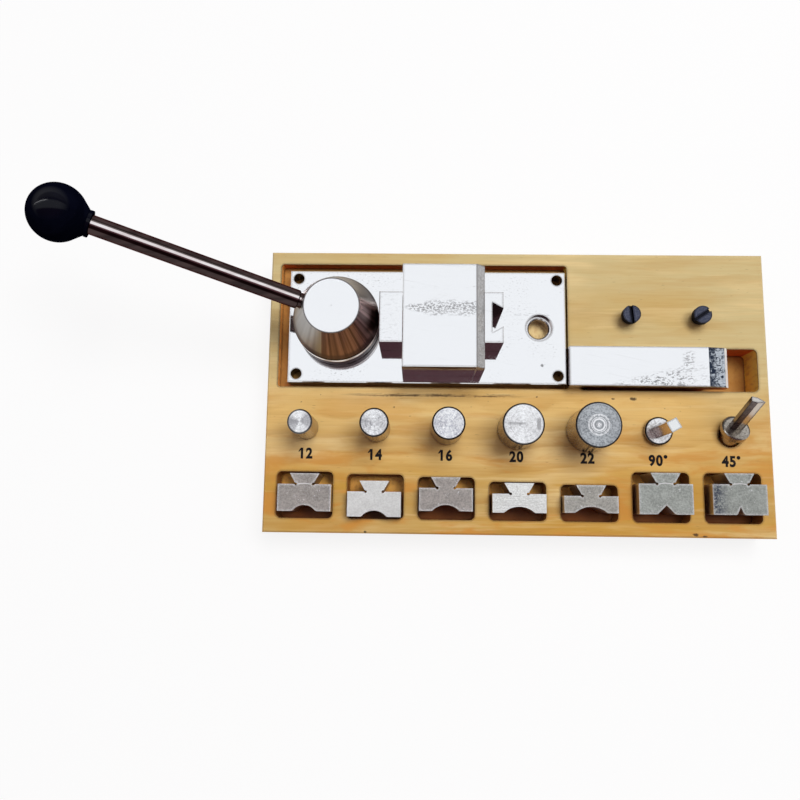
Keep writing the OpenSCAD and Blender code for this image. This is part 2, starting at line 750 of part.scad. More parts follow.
module round_die(i) {
    r = rounds[i] / 2 + strip_t;
    color(grey_steel) die_place(i) difference() {
        die_blank(die_l[i]);
        translate([0, arc_depth - r - die_l[i], -cut]) cylinder(r = r, h = die_h + 2 * cut);
        for (s = [-1, 1]) translate([0, -die_l[i], -cut])
            linear_extrude(height = die_h + 2 * cut) hollow_lip(r, arc_depth, s);
    }
}

// V notch of depth d and opening angle a, with round lips where it meets the face
module notch(d, a) {
    half = d * tan(a / 2);
    reach = lip_r * tan((90 - a / 2) / 2);
    mouth = half + reach;
    side_x = half - reach * sin(a / 2) + lip_sink * cos(a / 2);
    side_y = reach * cos(a / 2) + lip_sink * sin(a / 2);
    difference() {
        polygon([[-mouth, -cut], [mouth, -cut], [mouth, lip_r], [side_x, side_y], [0, d],
            [-side_x, side_y], [-mouth, lip_r]]);
        for (x = [-mouth, mouth]) translate([x, lip_r - lip_sink]) circle(r = lip_r);
    }
}

module angle_die(i, d, a) {
    color(grey_steel) die_place(i) difference() {
        die_blank(die_l[i]);
        translate([0, -die_l[i], -cut]) linear_extrude(height = die_h + 2 * cut) notch(d, a);
    }
}

module die_12() round_die(0);
module die_14() round_die(1);
module die_16() round_die(2);
module die_20() round_die(3);
module die_22() round_die(4);
module die_90() angle_die(5, notch_square, 90);
module die_45() angle_die(6, notch_sharp, 45);

module vice_bar() {
    color(steel) translate([bar_x0, bar_y0, board_t]) difference() {
        translate([0, bar_w, 0]) rotate([90, 0, 0]) linear_extrude(height = bar_w) polygon([
            [0, 0], [bar_step, 0], [bar_step, -bar_tongue], [bar_l - bar_step, -bar_tongue],
            [bar_l - bar_step, 0], [bar_l, 0], [bar_l, bar_head - bevel_drop - bevel_edge],
            [bar_l - bevel_edge, bar_head - bevel_drop], [bar_l - bevel_edge - bevel_l, bar_head], [0, bar_head]]);
        for (s = [-1, 1]) translate([bar_l / 2 + s * hole_span_y / 2, bar_w / 2, -bar_tongue - cut])
            cylinder(d = screw_d, h = screw_l - plate_t + 2 * cut);
    }
}

module bar_screw(i, turn) {
    color(black) translate([screw_x + i * station_pitch, screw_y, board_t - screw_hole]) difference() {
        union() {
            cylinder(d = screw_d, h = screw_l);
            translate([0, 0, screw_l]) cylinder(d = head_d, h = head_h);
        }
        translate([0, 0, screw_l + head_h - slot_depth / 2 + cut / 2]) rotate([0, 0, turn])
            cube([head_d + cut, slot_w, slot_depth + cut], center = true);
    }
}

module bar_screw_left() bar_screw(0, slot_turn_left);
module bar_screw_right() bar_screw(1, slot_turn_right);

wood_base();
base_plate();
punch_bush();
bridge();
bridge_screws();
slide();
return_spring();
stop_pin();
cam_hub();
pivot_shaft();
pivot_bush();
thrust_washer();
retaining_ring();
lever_rod();
ball_knob();
knob_insert();
punch_12();
punch_14();
punch_16();
punch_20();
punch_22();
punch_90();
blade_90();
punch_45();
blade_45();
die_12();
die_14();
die_16();
die_20();
die_22();
die_90();
die_45();
vice_bar();
bar_screw_left();
bar_screw_right();
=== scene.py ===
"""Looks of the lever bender in its wooden board.

Materials, printed size marks, screw threads, studio and camera. All lengths are in metres, in the
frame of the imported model: +Z up, +X right, +Y to the back, origin under the board.
"""

import math

import bmesh
import bpy
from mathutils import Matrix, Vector

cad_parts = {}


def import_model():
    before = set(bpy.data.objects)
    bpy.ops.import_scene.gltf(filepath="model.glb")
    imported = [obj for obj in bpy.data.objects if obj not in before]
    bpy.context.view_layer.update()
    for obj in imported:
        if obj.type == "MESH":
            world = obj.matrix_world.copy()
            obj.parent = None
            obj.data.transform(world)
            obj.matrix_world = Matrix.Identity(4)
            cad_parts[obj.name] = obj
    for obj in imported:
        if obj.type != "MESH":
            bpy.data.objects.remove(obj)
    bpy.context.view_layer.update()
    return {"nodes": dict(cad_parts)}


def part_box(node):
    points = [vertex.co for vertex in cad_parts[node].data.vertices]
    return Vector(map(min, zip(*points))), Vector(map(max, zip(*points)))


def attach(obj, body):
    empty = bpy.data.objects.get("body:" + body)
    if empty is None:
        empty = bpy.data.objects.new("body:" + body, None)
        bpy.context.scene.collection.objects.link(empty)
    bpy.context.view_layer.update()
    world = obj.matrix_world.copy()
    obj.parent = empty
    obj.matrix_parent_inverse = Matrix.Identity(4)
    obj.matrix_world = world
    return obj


MM = 0.001
# Cosine of a surface's angle to straight up: above the first it is level, below the second upright
UPRIGHT = (0.62, 0.45)
# Cosine between a surface and its rounded copy: above the first it is flat, below the second an edge
AT_EDGE = (0.985, 0.86)
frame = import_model()
nodes = frame["nodes"]
scene = bpy.context.scene


class Tree:
    """Short names for building a node tree."""

    def __init__(self, tree):
        self.t = tree
        tree.nodes.clear()

    def add(self, kind, **fields):
        node = self.t.nodes.new("ShaderNode" + kind)
        for key, value in fields.items():
            setattr(node, key, value)
        return node

    def put(self, socket, value):
        if isinstance(value, bpy.types.NodeSocket):
            self.t.links.new(value, socket)
        else:
            socket.default_value = value

    def math(self, operation, a, b=0.0, c=0.0, clamp=False):
        node = self.add("Math", operation=operation, use_clamp=clamp)
        for socket, value in zip(node.inputs, (a, b, c)):
            self.put(socket, value)
        return node.outputs[0]

    def times(self, first, *others):
        for other in others:
            first = self.math("MULTIPLY", first, other)
        return first

    def most(self, first, *others):
        for other in others:
            first = self.math("MAXIMUM", first, other)
        return first

    def off(self, value, centre):
        """Distance of a value from a centre."""
        return self.math("ABSOLUTE", self.math("SUBTRACT", value, centre))

    def vector(self, operation, a, b=(0, 0, 0)):
        node = self.add("VectorMath", operation=operation)
        self.put(node.inputs[0], a)
        self.put(node.inputs[1], b)
        return node.outputs["Value" if operation in ("LENGTH", "DOT_PRODUCT") else "Vector"]

    def reach(self, p, place, stretch=(1, 1, 0)):
        """Distance of a point from a place, with each axis stretched."""
        return self.vector("LENGTH", self.vector("MULTIPLY", self.vector("SUBTRACT", p, place), stretch))

    def split(self, v):
        node = self.add("SeparateXYZ")
        self.put(node.inputs[0], v)
        return node.outputs

    def join(self, x, y, z):
        node = self.add("CombineXYZ")
        for socket, value in zip(node.inputs, (x, y, z)):
            self.put(socket, value)
        return node.outputs[0]

    def span(self, value, low, high, to_low=0.0, to_high=1.0):
        """Smooth step of a value from low..high to to_low..to_high; low may be above high."""
        node = self.add("MapRange", interpolation_type="SMOOTHSTEP")
        if low > high:
            low, high, to_low, to_high = high, low, to_high, to_low
        for socket, v in zip(node.inputs, (value, low, high, to_low, to_high)):
            self.put(socket, v)
        return node.outputs[0]

    def mix(self, share, a, b):
        node = self.add("Mix", data_type="RGBA")
        self.put(node.inputs[0], share)
        self.put(node.inputs[6], (*a, 1) if isinstance(a, tuple) else a)
        self.put(node.inputs[7], (*b, 1) if isinstance(b, tuple) else b)
        return node.outputs[2]

    def blend(self, share, a, b):
        node = self.add("Mix", data_type="FLOAT")
        for socket, value in zip((node.inputs[0], node.inputs[2], node.inputs[3]), (share, a, b)):
            self.put(socket, value)
        return node.outputs[0]

    def noise(self, v, scale, detail=2.0, rough=0.5, distortion=0.0):
        """Noise of point v stretched by a scale of one number or three, in features per metre."""
        if isinstance(scale, tuple):
            v = self.vector("MULTIPLY", v, scale)
            scale = 1.0
        node = self.add("TexNoise")
        self.put(node.inputs["Vector"], v)
        settings = {"Scale": scale, "Detail": detail, "Roughness": rough, "Distortion": distortion}
        for name, value in settings.items():
            self.put(node.inputs[name], value)
        return node.outputs["Fac"]

    def bump(self, height, strength, distance):
        node = self.add("Bump")
        for name, value in (("Strength", strength), ("Distance", distance), ("Height", height)):
            self.put(node.inputs[name], value)
        return node.outputs["Normal"]

    def point(self):
        return self.add("TexCoord").outputs["Object"]

    def side(self):
        """1 on upright faces, 0 on faces that look up or down."""
        up = self.split(self.add("TexCoord").outputs["Normal"])[2]
        return self.span(self.math("ABSOLUTE", up), *UPRIGHT)

    def level(self):
        """1 on faces that look up or down, 0 on upright faces."""
        return self.math("SUBTRACT", 1.0, self.side())

    def facing(self, way, low, high):
        """1 where the surface faces a direction, by the cosine of the angle between them."""
        normal = self.add("TexCoord").outputs["Normal"]
        return self.span(self.vector("DOT_PRODUCT", normal, way), low, high)

    def edge(self, radius):
        """1 at the solid's edges, falling to 0 at radius from them."""
        rounded = self.add("Bevel", samples=4)
        self.put(rounded.inputs["Radius"], radius)
        flat = self.add("NewGeometry").outputs["True Normal"]
        return self.span(self.vector("DOT_PRODUCT", rounded.outputs[0], flat), *AT_EDGE)

    def surface(self, **inputs):
        """Principled surface; inputs are named by their sockets, with _ for a space."""
        shader = self.add("BsdfPrincipled")
        for name, value in inputs.items():
            value = (*value, 1) if name == "Base_Color" and isinstance(value, tuple) else value
            self.put(shader.inputs[name.replace("_", " ")], value)
        self.put(self.add("OutputMaterial").inputs["Surface"], shader.outputs[0])


def start(name):
    """A new material and its node tree."""
    made = bpy.data.materials.new(name)
    made.use_nodes = True
    return made, Tree(made.node_tree)


def wear(node, material):
    """Give a piece of the model its material."""
    nodes[node].data.materials.clear()
    nodes[node].data.materials.append(material)


def middle(node):
    """Middle of a piece's box."""
    low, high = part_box(node)
    return (Vector(low) + Vector(high)) / 2


# Wood

PALE_PINE = (0.600, 0.480, 0.232)
WARM_PINE = (0.545, 0.300, 0.050)
# The row colour is painted light on the stretch the punches stand in
ROW_PINE = (0.755, 0.490, 0.168)
CREAM_PINE = (0.800, 0.610, 0.300)
LATE_PINE = (0.470, 0.235, 0.045)
FLAME_PINE = (0.580, 0.262, 0.046)
# Cut wood in the pockets: floors, walls across the grain facing right and left, walls along it; the walls
# facing left are painted lighter than those facing right, as painted light
FLOOR_PINE = (0.440, 0.205, 0.045)
RIGHT_PINE = (0.900, 0.440, 0.115)
LEFT_PINE = (0.980, 0.700, 0.130)
LONG_PINE = (0.680, 0.124, 0.023)
# Painted light and shade in the die pockets: floors painted lit behind the dies and in painted shadow in
# front of them, and walls along and across the grain painted in shade
LIT_FLOOR = (0.980, 0.500, 0.110)
DIM_FLOOR = (0.240, 0.062, 0.014)
DIM_LONG = (0.270, 0.055, 0.012)
DIM_RIGHT = (0.380, 0.140, 0.035)
DIM_LEFT = (0.360, 0.125, 0.032)
SAWN_PINE = (0.30, 0.095, 0.018)
# Painted shade along the edges of the recess and pockets
EDGE_SHADE_BROWN = (0.050, 0.020, 0.010)
KNOT_BROWN = (0.10, 0.035, 0.012)
SPOT_AND_LINE_BLACK = (0.030, 0.016, 0.010)
RING_WIDTH = 4.6 * MM
# Middle of the log that the board was sawn from: y, z
LOG = (16 * MM, -64 * MM)
# Dark spots on the board's face, in millimetres: x, y, radius
SPOTS = ((58.5, -3.5, 1.5), (48.4, -3.6, 0.8), (87.2, -70.8, 1.2), (91.6, -71.6, 0.9), (-75.6, -71.6, 0.8),
         (-38.4, -2.0, 0.5), (-62.0, -9.0, 0.5), (-54.0, -13.5, 0.5), (10.0, -3.0, 0.6))
# Spots are longer along the grain than across it
SPOT_STRETCH = (0.7, 1.3, 0)
# Dark ragged line in front of the press, in millimetres: x from, x to, y
DARK_LINE = (-94, 8, -2.7)
# Middle of the stretch that the punches stand in, painted paler: painted light that lifts the shade of the
# press and punches
ROW_Y = -18 * MM
# Cut wood starts this far in from the board's outer faces
WOOD_INSET = 1.6 * MM
# The pockets of the dies lie in front of this distance behind the dies' middles
POCKET_BACK = 18 * MM
# Width over which the pale ground under the press plate fades out at its borders
PALE_FADE = 8 * MM


def pine():
    """Varnished pine with bare cut wood in its recess and pockets, dark spots and a dark line; painted
    light and shade in the pockets and on the stretch the punches stand in.
    """
    material, t = start("varnished_pine")
    p = t.point()
    x, y, z = t.split(p)
    low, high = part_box("wood_base")

    # Growth rings about a log along X, wavering slowly along the grain
    slow = t.math("MULTIPLY_ADD", t.noise(p, (7, 20, 20), 2, 0.5), 16 * MM, -8 * MM)
    quick = t.math("MULTIPLY_ADD", t.noise(p, (38, 110, 110), 2, 0.5), 2.6 * MM, -1.3 * MM)
    r = t.vector("LENGTH", t.join(t.math("SUBTRACT", y, LOG[0]), t.math("SUBTRACT", z, LOG[1]), 0))
    ring = t.math("FRACT", t.math("DIVIDE", t.math("ADD", r, t.math("ADD", slow, quick)), RING_WIDTH))
    late = t.times(t.span(ring, 0.30, 0.90), t.span(ring, 1.0, 0.90),
                   t.span(t.noise(p, (16, 130, 130), 2, 0.5), 0.30, 0.75, 0.15, 1.0))

    # Base colour: paler at the back, warmer at the front, in slow patches
    patch = t.math("ADD", t.span(y, high[1] - 30 * MM, low[1] + 8 * MM, 0.0, 0.78),
                   t.span(t.noise(p, (11, 34, 34), 3, 0.55), 0.30, 0.75, -0.30, 0.46), clamp=True)
    wood = t.mix(patch, PALE_PINE, WARM_PINE)
    # Painted light: the stretch the punches stand in is painted paler, less so towards the right
    row = t.times(t.span(t.off(y, ROW_Y), 30 * MM, 12 * MM, 0.0, 0.80),
                  t.span(x, 75 * MM, 105 * MM, 1.0, 0.45))
    wood = t.mix(row, wood, ROW_PINE)
    cream = t.noise(p, (13, 58, 58), 3, 0.55, 0.3)
    wood = t.mix(t.span(cream, 0.50, 0.70, 0.0, 0.55), wood, CREAM_PINE)
    wood = t.mix(t.times(late, t.span(y, high[1] - 20 * MM, low[1], 0.22, 0.58)), wood, LATE_PINE)

    # Streaks, fibres, resin ducts and warm flames along the grain
    band = t.noise(p, (18, 300, 300), 3, 0.6, 0.2)
    dark_band = t.times(t.span(band, 0.50, 0.70), t.span(y, high[1] - 20 * MM, low[1], 0.14, 0.34))
    wood = t.mix(dark_band, wood, LATE_PINE)
    wood = t.mix(t.span(band, 0.46, 0.30, 0.0, 0.30), wood, CREAM_PINE)
    fibre = t.noise(p, (55, 2100, 2100), 3, 0.6)
    wood = t.mix(t.span(fibre, 0.46, 0.80, 0.0, 0.26), wood, LATE_PINE)
    duct = t.times(t.span(t.noise(p, (230, 2600, 2600), 1, 0.5), 0.70, 0.78),
                   t.span(t.noise(p, (60, 70, 70), 1, 0.5), 0.45, 0.62))
    wood = t.mix(t.times(duct, 0.55), wood, KNOT_BROWN)
    flame = t.times(t.span(t.noise(p, (26, 95, 95), 4, 0.6, 0.6), 0.47, 0.66, 0.0, 0.95),
                    t.span(y, high[1] - 50 * MM, low[1] + 10 * MM))
    wood = t.mix(flame, wood, FLAME_PINE)

    # Spots, and the dark line in front of the press
    ragged = t.math("MULTIPLY_ADD", t.noise(p, 900, 3, 0.6), 1.9 * MM, -0.95 * MM)
    dark_marks = 0.0
    for sx, sy, sr in SPOTS:
        away = t.reach(p, (sx * MM, sy * MM, 0), SPOT_STRETCH)
        dark_marks = t.most(dark_marks, t.span(t.math("ADD", away, ragged), sr * MM, 0.45 * sr * MM, 0.0, 0.85))
    x0, x1, line_y = (v * MM for v in DARK_LINE)
    off = t.off(y, line_y)
    streak = t.times(t.span(t.math("ADD", off, t.times(ragged, 0.6)), 1.1 * MM, 0.2 * MM),
                     t.span(t.noise(p, (70, 900, 900), 3, 0.65), 0.36, 0.56),
                     t.span(x, x0, x0 + 30 * MM), t.span(x, x1, x1 - 22 * MM))
    smear = t.times(t.span(off, 9 * MM, 0.0), t.span(t.noise(p, (30, 60, 60), 3, 0.6), 0.40, 0.75))
    grit = t.times(t.span(t.noise(p, 800, 2, 0.5), 0.70, 0.76), t.span(t.off(y, -4 * MM), 9 * MM, 3 * MM))
    dark_marks = t.most(dark_marks, t.times(streak, 0.85), t.times(smear, 0.14), t.times(grit, 0.55))

    # Bare cut wood inside the pockets is browner and duller than the varnished face, and painted shade
    # darkens it further; the walls across the grain carry painted light by the way they face
    half_x = high[0] - WOOD_INSET
    half_y = high[1] - WOOD_INSET
    inner = t.times(t.span(t.math("ABSOLUTE", x), half_x, half_x - 0.2 * MM),
                    t.span(t.math("ABSOLUTE", y), half_y, half_y - 0.2 * MM))
    inside = t.times(inner, t.span(z, high[2] - 0.25 * MM, high[2] - 0.6 * MM), t.span(z, 4 * MM, 6 * MM))
    die_y = middle("die_16").y
    dies = t.span(y, die_y + POCKET_BACK, die_y + POCKET_BACK - 3 * MM)
    # The floor is painted pale where the press plate covers it: painted light on the wood seen through the
    # plate's holes
    left, right = (c[0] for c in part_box("base_plate"))
    front, back = (c[1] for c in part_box("base_plate"))
    under = t.times(t.span(x, left + 1 * MM, left + PALE_FADE),
                    t.span(x, right - 1 * MM, right - PALE_FADE),
                    t.span(y, front + 1 * MM, front + PALE_FADE),
                    t.span(y, back - 1 * MM, back - PALE_FADE))
    ground = t.mix(under, FLOOR_PINE, CREAM_PINE)
    # Painted light on the die pockets' floors behind the dies, painted shadow in front of them
    ground = t.mix(dies, ground, t.mix(t.span(y, die_y - 2 * MM, die_y + 5 * MM), DIM_FLOOR, LIT_FLOOR))
    # In the die pockets the walls take their painted-shade colours
    cut = t.mix(t.side(), ground, t.mix(dies, LONG_PINE, DIM_LONG))
    # Painted light by the way a wall faces: those facing left are painted lightest
    cut = t.mix(t.facing((1, 0, 0), 0.4, 0.6), cut, t.mix(dies, RIGHT_PINE, DIM_RIGHT))
    cut = t.mix(t.facing((-1, 0, 0), 0.4, 0.6), cut, t.mix(dies, LEFT_PINE, DIM_LEFT))
    sawn = t.noise(p, (500, 420, 130), 3, 0.65)
    cut = t.mix(t.span(sawn, 0.45, 0.72, 0.0, 0.38), cut, SAWN_PINE)
    wood = t.mix(t.times(inside, 0.92), wood, cut)
    # Painted shade: dark lines along the edges of the recess and pockets
    wood = t.mix(t.times(t.edge(1.9 * MM), inner, 0.82), wood, EDGE_SHADE_BROWN)
    wood = t.mix(dark_marks, wood, SPOT_AND_LINE_BLACK)

    height = t.math("ADD", t.times(late, -0.35), t.times(fibre, 0.5))
    sheen = t.span(t.noise(p, (40, 300, 300), 2, 0.5), 0.3, 0.7, 0.40, 0.50)
    rough = t.math("ADD", sheen, t.times(inside, 0.22))
    t.surface(Base_Color=wood, Roughness=rough, Normal=t.bump(height, 0.20, 0.12 * MM), Coat_Weight=0.10,
              Coat_Roughness=0.22, Specular_IOR_Level=0.22)
    return material


# Steel

BRIGHT = (0.90, 0.905, 0.915)
DULL = (0.30, 0.295, 0.30)
# Upright faces are painted darker and a little warm, a painted reflection of the room round them; those
# that look left are painted brighter
FLANK = (0.60, 0.555, 0.555)
LEFT_FLANK = (0.80, 0.71, 0.67)
# Painted shade along the edges of blocks: colour, radius of the search for them, and share of the colour
EDGE_DARK = (0.120, 0.098, 0.096)
EDGE_REACH = 1.5 * MM
EDGE_SHARE = 0.80
# Undersides, and the broken edges at a block's foot, are painted dark: painted shade
UNDERSIDE_SHADE = (0.030, 0.022, 0.022)
# Painted highlight along the foot of the bar's bevel, white and nearly matt
BEVEL_FOOT_HIGHLIGHT = (0.90, 0.90, 0.89)
# Strength and depth of the grinding lines
FINE_LINES = (0.05, 0.02 * MM)


def scratches(t, p, turn, along, over, low, high):
    """Thin straight scratches lying at an angle in the XY plane: 1 on a scratch, 0 off it."""
    node = t.add("VectorRotate", rotation_type="Z_AXIS")
    t.put(node.inputs["Vector"], p)
    t.put(node.inputs["Angle"], math.radians(turn))
    return t.span(t.noise(node.outputs[0], (along, over, over), 2, 0.55), low, high)


def ground_finish(t, p, rough):
    """Roughness, bump and scratches of a surface ground lengthways and handled since."""
    lines = t.noise(p, (30, 3800, 3800), 3, 0.6)
    hazy = t.noise(p, 55, 3, 0.55)
    rub = t.most(scratches(t, p, 12, 28, 2600, 0.66, 0.74), scratches(t, p, -31, 40, 3000, 0.68, 0.76))
    value = t.math("ADD", t.span(lines, 0.3, 0.7, rough - 0.03, rough + 0.04),
                   t.span(hazy, 0.35, 0.7, -0.01, 0.03))
    height = t.math("ADD", t.times(lines, 0.5), t.times(rub, -0.5))
    return t.math("ADD", value, t.times(rub, 0.12)), height, rub


def fleck(t, p, size, low, high):
    """Small ragged dark flecks about size across."""
    return t.span(t.noise(p, (0.55 / size, 1.0 / size, 1.0 / size), 4, 0.72, 0.4), low, high)


def edged(t, colour):
    """Painted shade: dark lines at the edges of a steel block, and dark on its underside."""
    # Painted shade: dark lines along the block's edges
    colour = t.mix(t.times(t.edge(EDGE_REACH), EDGE_SHARE), colour, EDGE_DARK)
    # Painted shade on the underside and the broken edges at the foot
    return t.mix(t.facing((0, 0, -1), 0.3, 0.5), colour, UNDERSIDE_SHADE)


def polished(name, rough, tint=BRIGHT, flank=FLANK, marks=None):
    """Steel polished on top, its sides painted darker as a painted reflection and its edges painted dark as
    painted shade; marks(t, p) masks dull flecks.
    """
    material, t = start(name)
    p = t.point()
    value, height, rub = ground_finish(t, p, rough)
    dull = t.times(fleck(t, p, 0.6 * MM, 0.70, 0.78), 0.45)
    if marks:
        dull = t.most(dull, marks(t, p))
    colour = t.mix(t.times(rub, 0.10), tint, DULL)
    colour = t.mix(dull, colour, DULL)
    # Painted reflection: upright faces take the darker flank colour, brighter where they look left
    colour = t.mix(t.side(), colour, t.mix(t.facing((-1, 0, 0), 0.7, 0.9), flank, LEFT_FLANK))
    value = t.math("ADD", value, t.times(dull, 0.20))
    t.surface(Base_Color=edged(t, colour), Metallic=1.0, Roughness=value,
              Normal=t.bump(height, *FINE_LINES))
    return material


def plate_marks(t, p):
    """A stain, a scribed line from the slide past the bore, and flecks thinly over the plate."""
    bore = middle("punch_bush")
    x, y, _ = t.split(p)
    sparse = t.span(t.noise(p, 60, 2, 0.5), 0.46, 0.60, 0.0, 0.42)
    thin = t.times(fleck(t, p, 0.8 * MM, 0.57, 0.66), sparse)
    line = t.times(t.span(t.off(y, bore.y + 6.6 * MM), 0.22 * MM, 0.08 * MM),
                   t.span(t.noise(p, (420, 60, 60), 1, 0.5), 0.46, 0.56),
                   t.span(x, bore.x - 17 * MM, bore.x - 14 * MM),
                   t.span(x, bore.x + 8 * MM, bore.x + 6 * MM))
    away = t.reach(p, (bore.x + 1.2 * MM, bore.y - 19.6 * MM, 0))
    ragged = t.times(t.noise(p, 900, 2, 0.6), 1.6 * MM)
    stain = t.span(t.math("ADD", away, ragged), 1.85 * MM, 1.25 * MM, 0.0, 0.95)
    return t.most(thin, t.times(line, 0.45), stain)


def bridge_marks(t, p):
    """A worn band across the top, a fainter one behind it, the mottled chamfer, and painted shade as a dark
    line along the chamfer's upper edge.
    """
    low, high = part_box("bridge")
    x, y, z = t.split(p)
    band_y = 35.9 * MM
    wide = t.span(x, low[0] + 1 * MM, low[0] + 14 * MM, 1.2 * MM, 4.2 * MM)
    ragged = t.math("MULTIPLY_ADD", t.noise(p, (170, 420, 420), 3, 0.6), 2.4, -1.2)
    near = t.times(t.span(t.math("ADD", t.math("DIVIDE", t.off(y, band_y), wide), ragged), 1.20, 0.20),
                   t.span(t.off(y, band_y), 5.5 * MM, 3.5 * MM),
                   t.span(x, low[0] + 0.5 * MM, low[0] + 3 * MM))
    worn = t.times(near, t.span(t.noise(p, (800, 1200, 1200), 3, 0.65), 0.45, 0.55))
    back_y = 45.6 * MM
    back = t.times(t.span(t.off(y, back_y), 2.2 * MM, 0.5 * MM),
                   t.span(t.noise(p, (700, 1500, 1500), 4, 0.75, 0.4), 0.58, 0.68))
    top = t.span(z, high[2] - 0.3 * MM, high[2] - 0.1 * MM)
    ridge_x = high[0] - 4.1 * MM
    chamfer = t.times(t.span(x, ridge_x, ridge_x + 0.2 * MM), t.math("SUBTRACT", 1.0, top),
                      t.span(z, high[2] - 4.3 * MM, high[2] - 4.0 * MM))
    mottle = t.span(t.noise(p, 1300, 4, 0.7), 0.35, 0.65, 0.62, 0.98)
    # Painted shade: a dark line along the chamfer's upper edge
    ridge = t.span(t.off(x, ridge_x), 0.40 * MM, 0.15 * MM)
    return t.most(t.times(top, worn, 0.80), t.times(top, back, 0.40), t.times(chamfer, mottle), ridge)


# The bevel at the right end of the vice bar, its narrow foot, and its pale and blued blotches
BEVEL_LENGTH = 10.4 * MM
BEVEL_FOOT = 1.6 * MM
BEVEL_PALE = (0.53, 0.57, 0.62)
BEVEL_BLUE = (0.022, 0.032, 0.055)


def bar_bevel(t, x):
    """1 along the bevel of the vice bar, apart from its foot."""
    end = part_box("vice_bar")[1][0]
    return t.times(t.span(x, end - BEVEL_LENGTH, end - BEVEL_LENGTH + 0.3 * MM),
                   t.span(x, end - BEVEL_FOOT, end - BEVEL_FOOT - 0.3 * MM))


def bar_marks(t, p):
    """Scratch flecks to the right front of the bar's top and the mottled bevel at its end."""
    low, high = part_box("vice_bar")
    x, y, z = t.split(p)
    top = t.span(z, high[2] - 0.3 * MM, high[2] - 0.1 * MM)
    slant = t.math("MULTIPLY_ADD", t.math("SUBTRACT", x, low[0] + 17 * MM), 0.25, low[1])
    near = t.times(t.span(t.math("SUBTRACT", y, slant), 2 * MM, -3 * MM),
                   t.span(x, low[0] + 14 * MM, low[0] + 30 * MM),
                   t.span(x, low[0] + 63 * MM, low[0] + 53 * MM, 0.22, 1.0))
    plume = t.times(t.span(t.off(x, low[0] + 59 * MM), 4 * MM, 1 * MM),
                    t.span(y, high[1] - 1 * MM, high[1] - 4 * MM, 0.0, 0.7))
    worn = t.times(t.most(near, plume), t.span(t.noise(p, (700, 1200, 1200), 3, 0.65), 0.47, 0.56),
                   t.span(t.noise(p, (260, 480, 480), 2, 0.6), 0.38, 0.55))
    return t.most(t.times(worn, top), t.times(bar_bevel(t, x), 0.25))


def bar_steel():
    """The vice bar: polished, with flecks on top, a blued, blotched bevel and a painted highlight along the
    bevel's foot.
    """
    material, t = start("polished_bar")
    p = t.point()
    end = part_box("vice_bar")[1][0]
    x = t.split(p)[0]
    value, height, rub = ground_finish(t, p, 0.11)
    dull = bar_marks(t, p)
    colour = t.mix(dull, t.mix(t.times(rub, 0.10), BRIGHT, DULL), DULL)
    bevel = t.times(bar_bevel(t, x), t.level())
    blot = t.math("ADD", t.noise(p, (480, 620, 620), 5, 0.75, 1.2),
                  t.span(x, end - 10 * MM, end - 4 * MM, 0.10, -0.03))
    blued = t.mix(t.span(blot, 0.46, 0.56), BEVEL_PALE, BEVEL_BLUE)
    colour = t.mix(bevel, colour, blued)
    # Painted reflection: the bar's upright faces take the darker flank colour
    colour = t.mix(t.side(), colour, FLANK)
    # Painted shade: dark lines along the bar's edges
    colour = t.mix(t.times(t.edge(EDGE_REACH), EDGE_SHARE), colour, EDGE_DARK)
    # Painted highlight: a thin white line along the foot of the bevel
    foot = t.times(t.span(x, end - BEVEL_FOOT - 0.15 * MM, end - BEVEL_FOOT), t.level())
    colour = t.mix(foot, colour, BEVEL_FOOT_HIGHLIGHT)
    value = t.math("ADD", value, t.times(bevel, 0.12))
    t.surface(Base_Color=colour, Metallic=t.span(foot, 0.0, 1.0, 1.0, 0.15), Roughness=value,
              Normal=t.bump(height, *FINE_LINES))
    return material


# Sides of the slide, painted darker as a painted reflection, and painted shade in its dovetail slot
SLIDE_FLANK = (0.22, 0.175, 0.195)
SLOT_DARK = (0.015, 0.011, 0.013)


def slide_steel():
    """The slide: polished on top, its sides painted darker as a painted reflection, the dovetail slot in
    its end painted dark as painted shade.
    """
    material, t = start("polished_slide")
    p = t.point()
    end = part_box("slide")[1][0]
    x, y, _ = t.split(p)
    value, height, rub = ground_finish(t, p, 0.10)
    slot = t.times(t.span(x, end - 5.9 * MM, end - 5.6 * MM), t.span(x, end + 0.1 * MM, end - 0.1 * MM),
                   t.span(t.off(y, middle("slide").y), 7.9 * MM, 7.7 * MM))
    colour = t.mix(slide_marks(t, p), t.mix(t.times(rub, 0.10), BRIGHT, DULL), DULL)
    flank = t.mix(t.facing((-1, 0, 0), 0.7, 0.9), SLIDE_FLANK, LEFT_FLANK)
    # Painted reflection on the sides, painted shade in the slot
    colour = t.mix(t.side(), colour, t.mix(slot, flank, SLOT_DARK))
    t.surface(Base_Color=edged(t, colour), Metallic=1.0, Roughness=value,
              Normal=t.bump(height, *FINE_LINES))
    return material


def slide_marks(t, p):
    """Faint scratches at the left end of the slide's top."""
    x, _, z = t.split(p)
    low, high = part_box("slide")
    left = t.span(x, low[0] + 14 * MM, low[0] + 5 * MM)
    return t.times(left, t.span(t.noise(p, (500, 800, 800), 4, 0.7), 0.52, 0.66, 0.0, 0.16),
                   t.span(z, high[2] - 0.4 * MM, high[2] - 0.2 * MM))


def round_about(t, p, centre):
    """Offset in X and Y, radius and direction of a point about an upright axis."""
    x, y, _ = t.split(p)
    dx = t.math("SUBTRACT", x, centre.x)
    dy = t.math("SUBTRACT", y, centre.y)
    flat = t.join(dx, dy, 0)
    return dx, dy, t.vector("LENGTH", flat), t.vector("NORMALIZE", flat)


def toward(degrees):
    """Unit vector in the XY plane at an angle from +X."""
    return (math.cos(math.radians(degrees)), math.sin(math.radians(degrees)), 0.0)


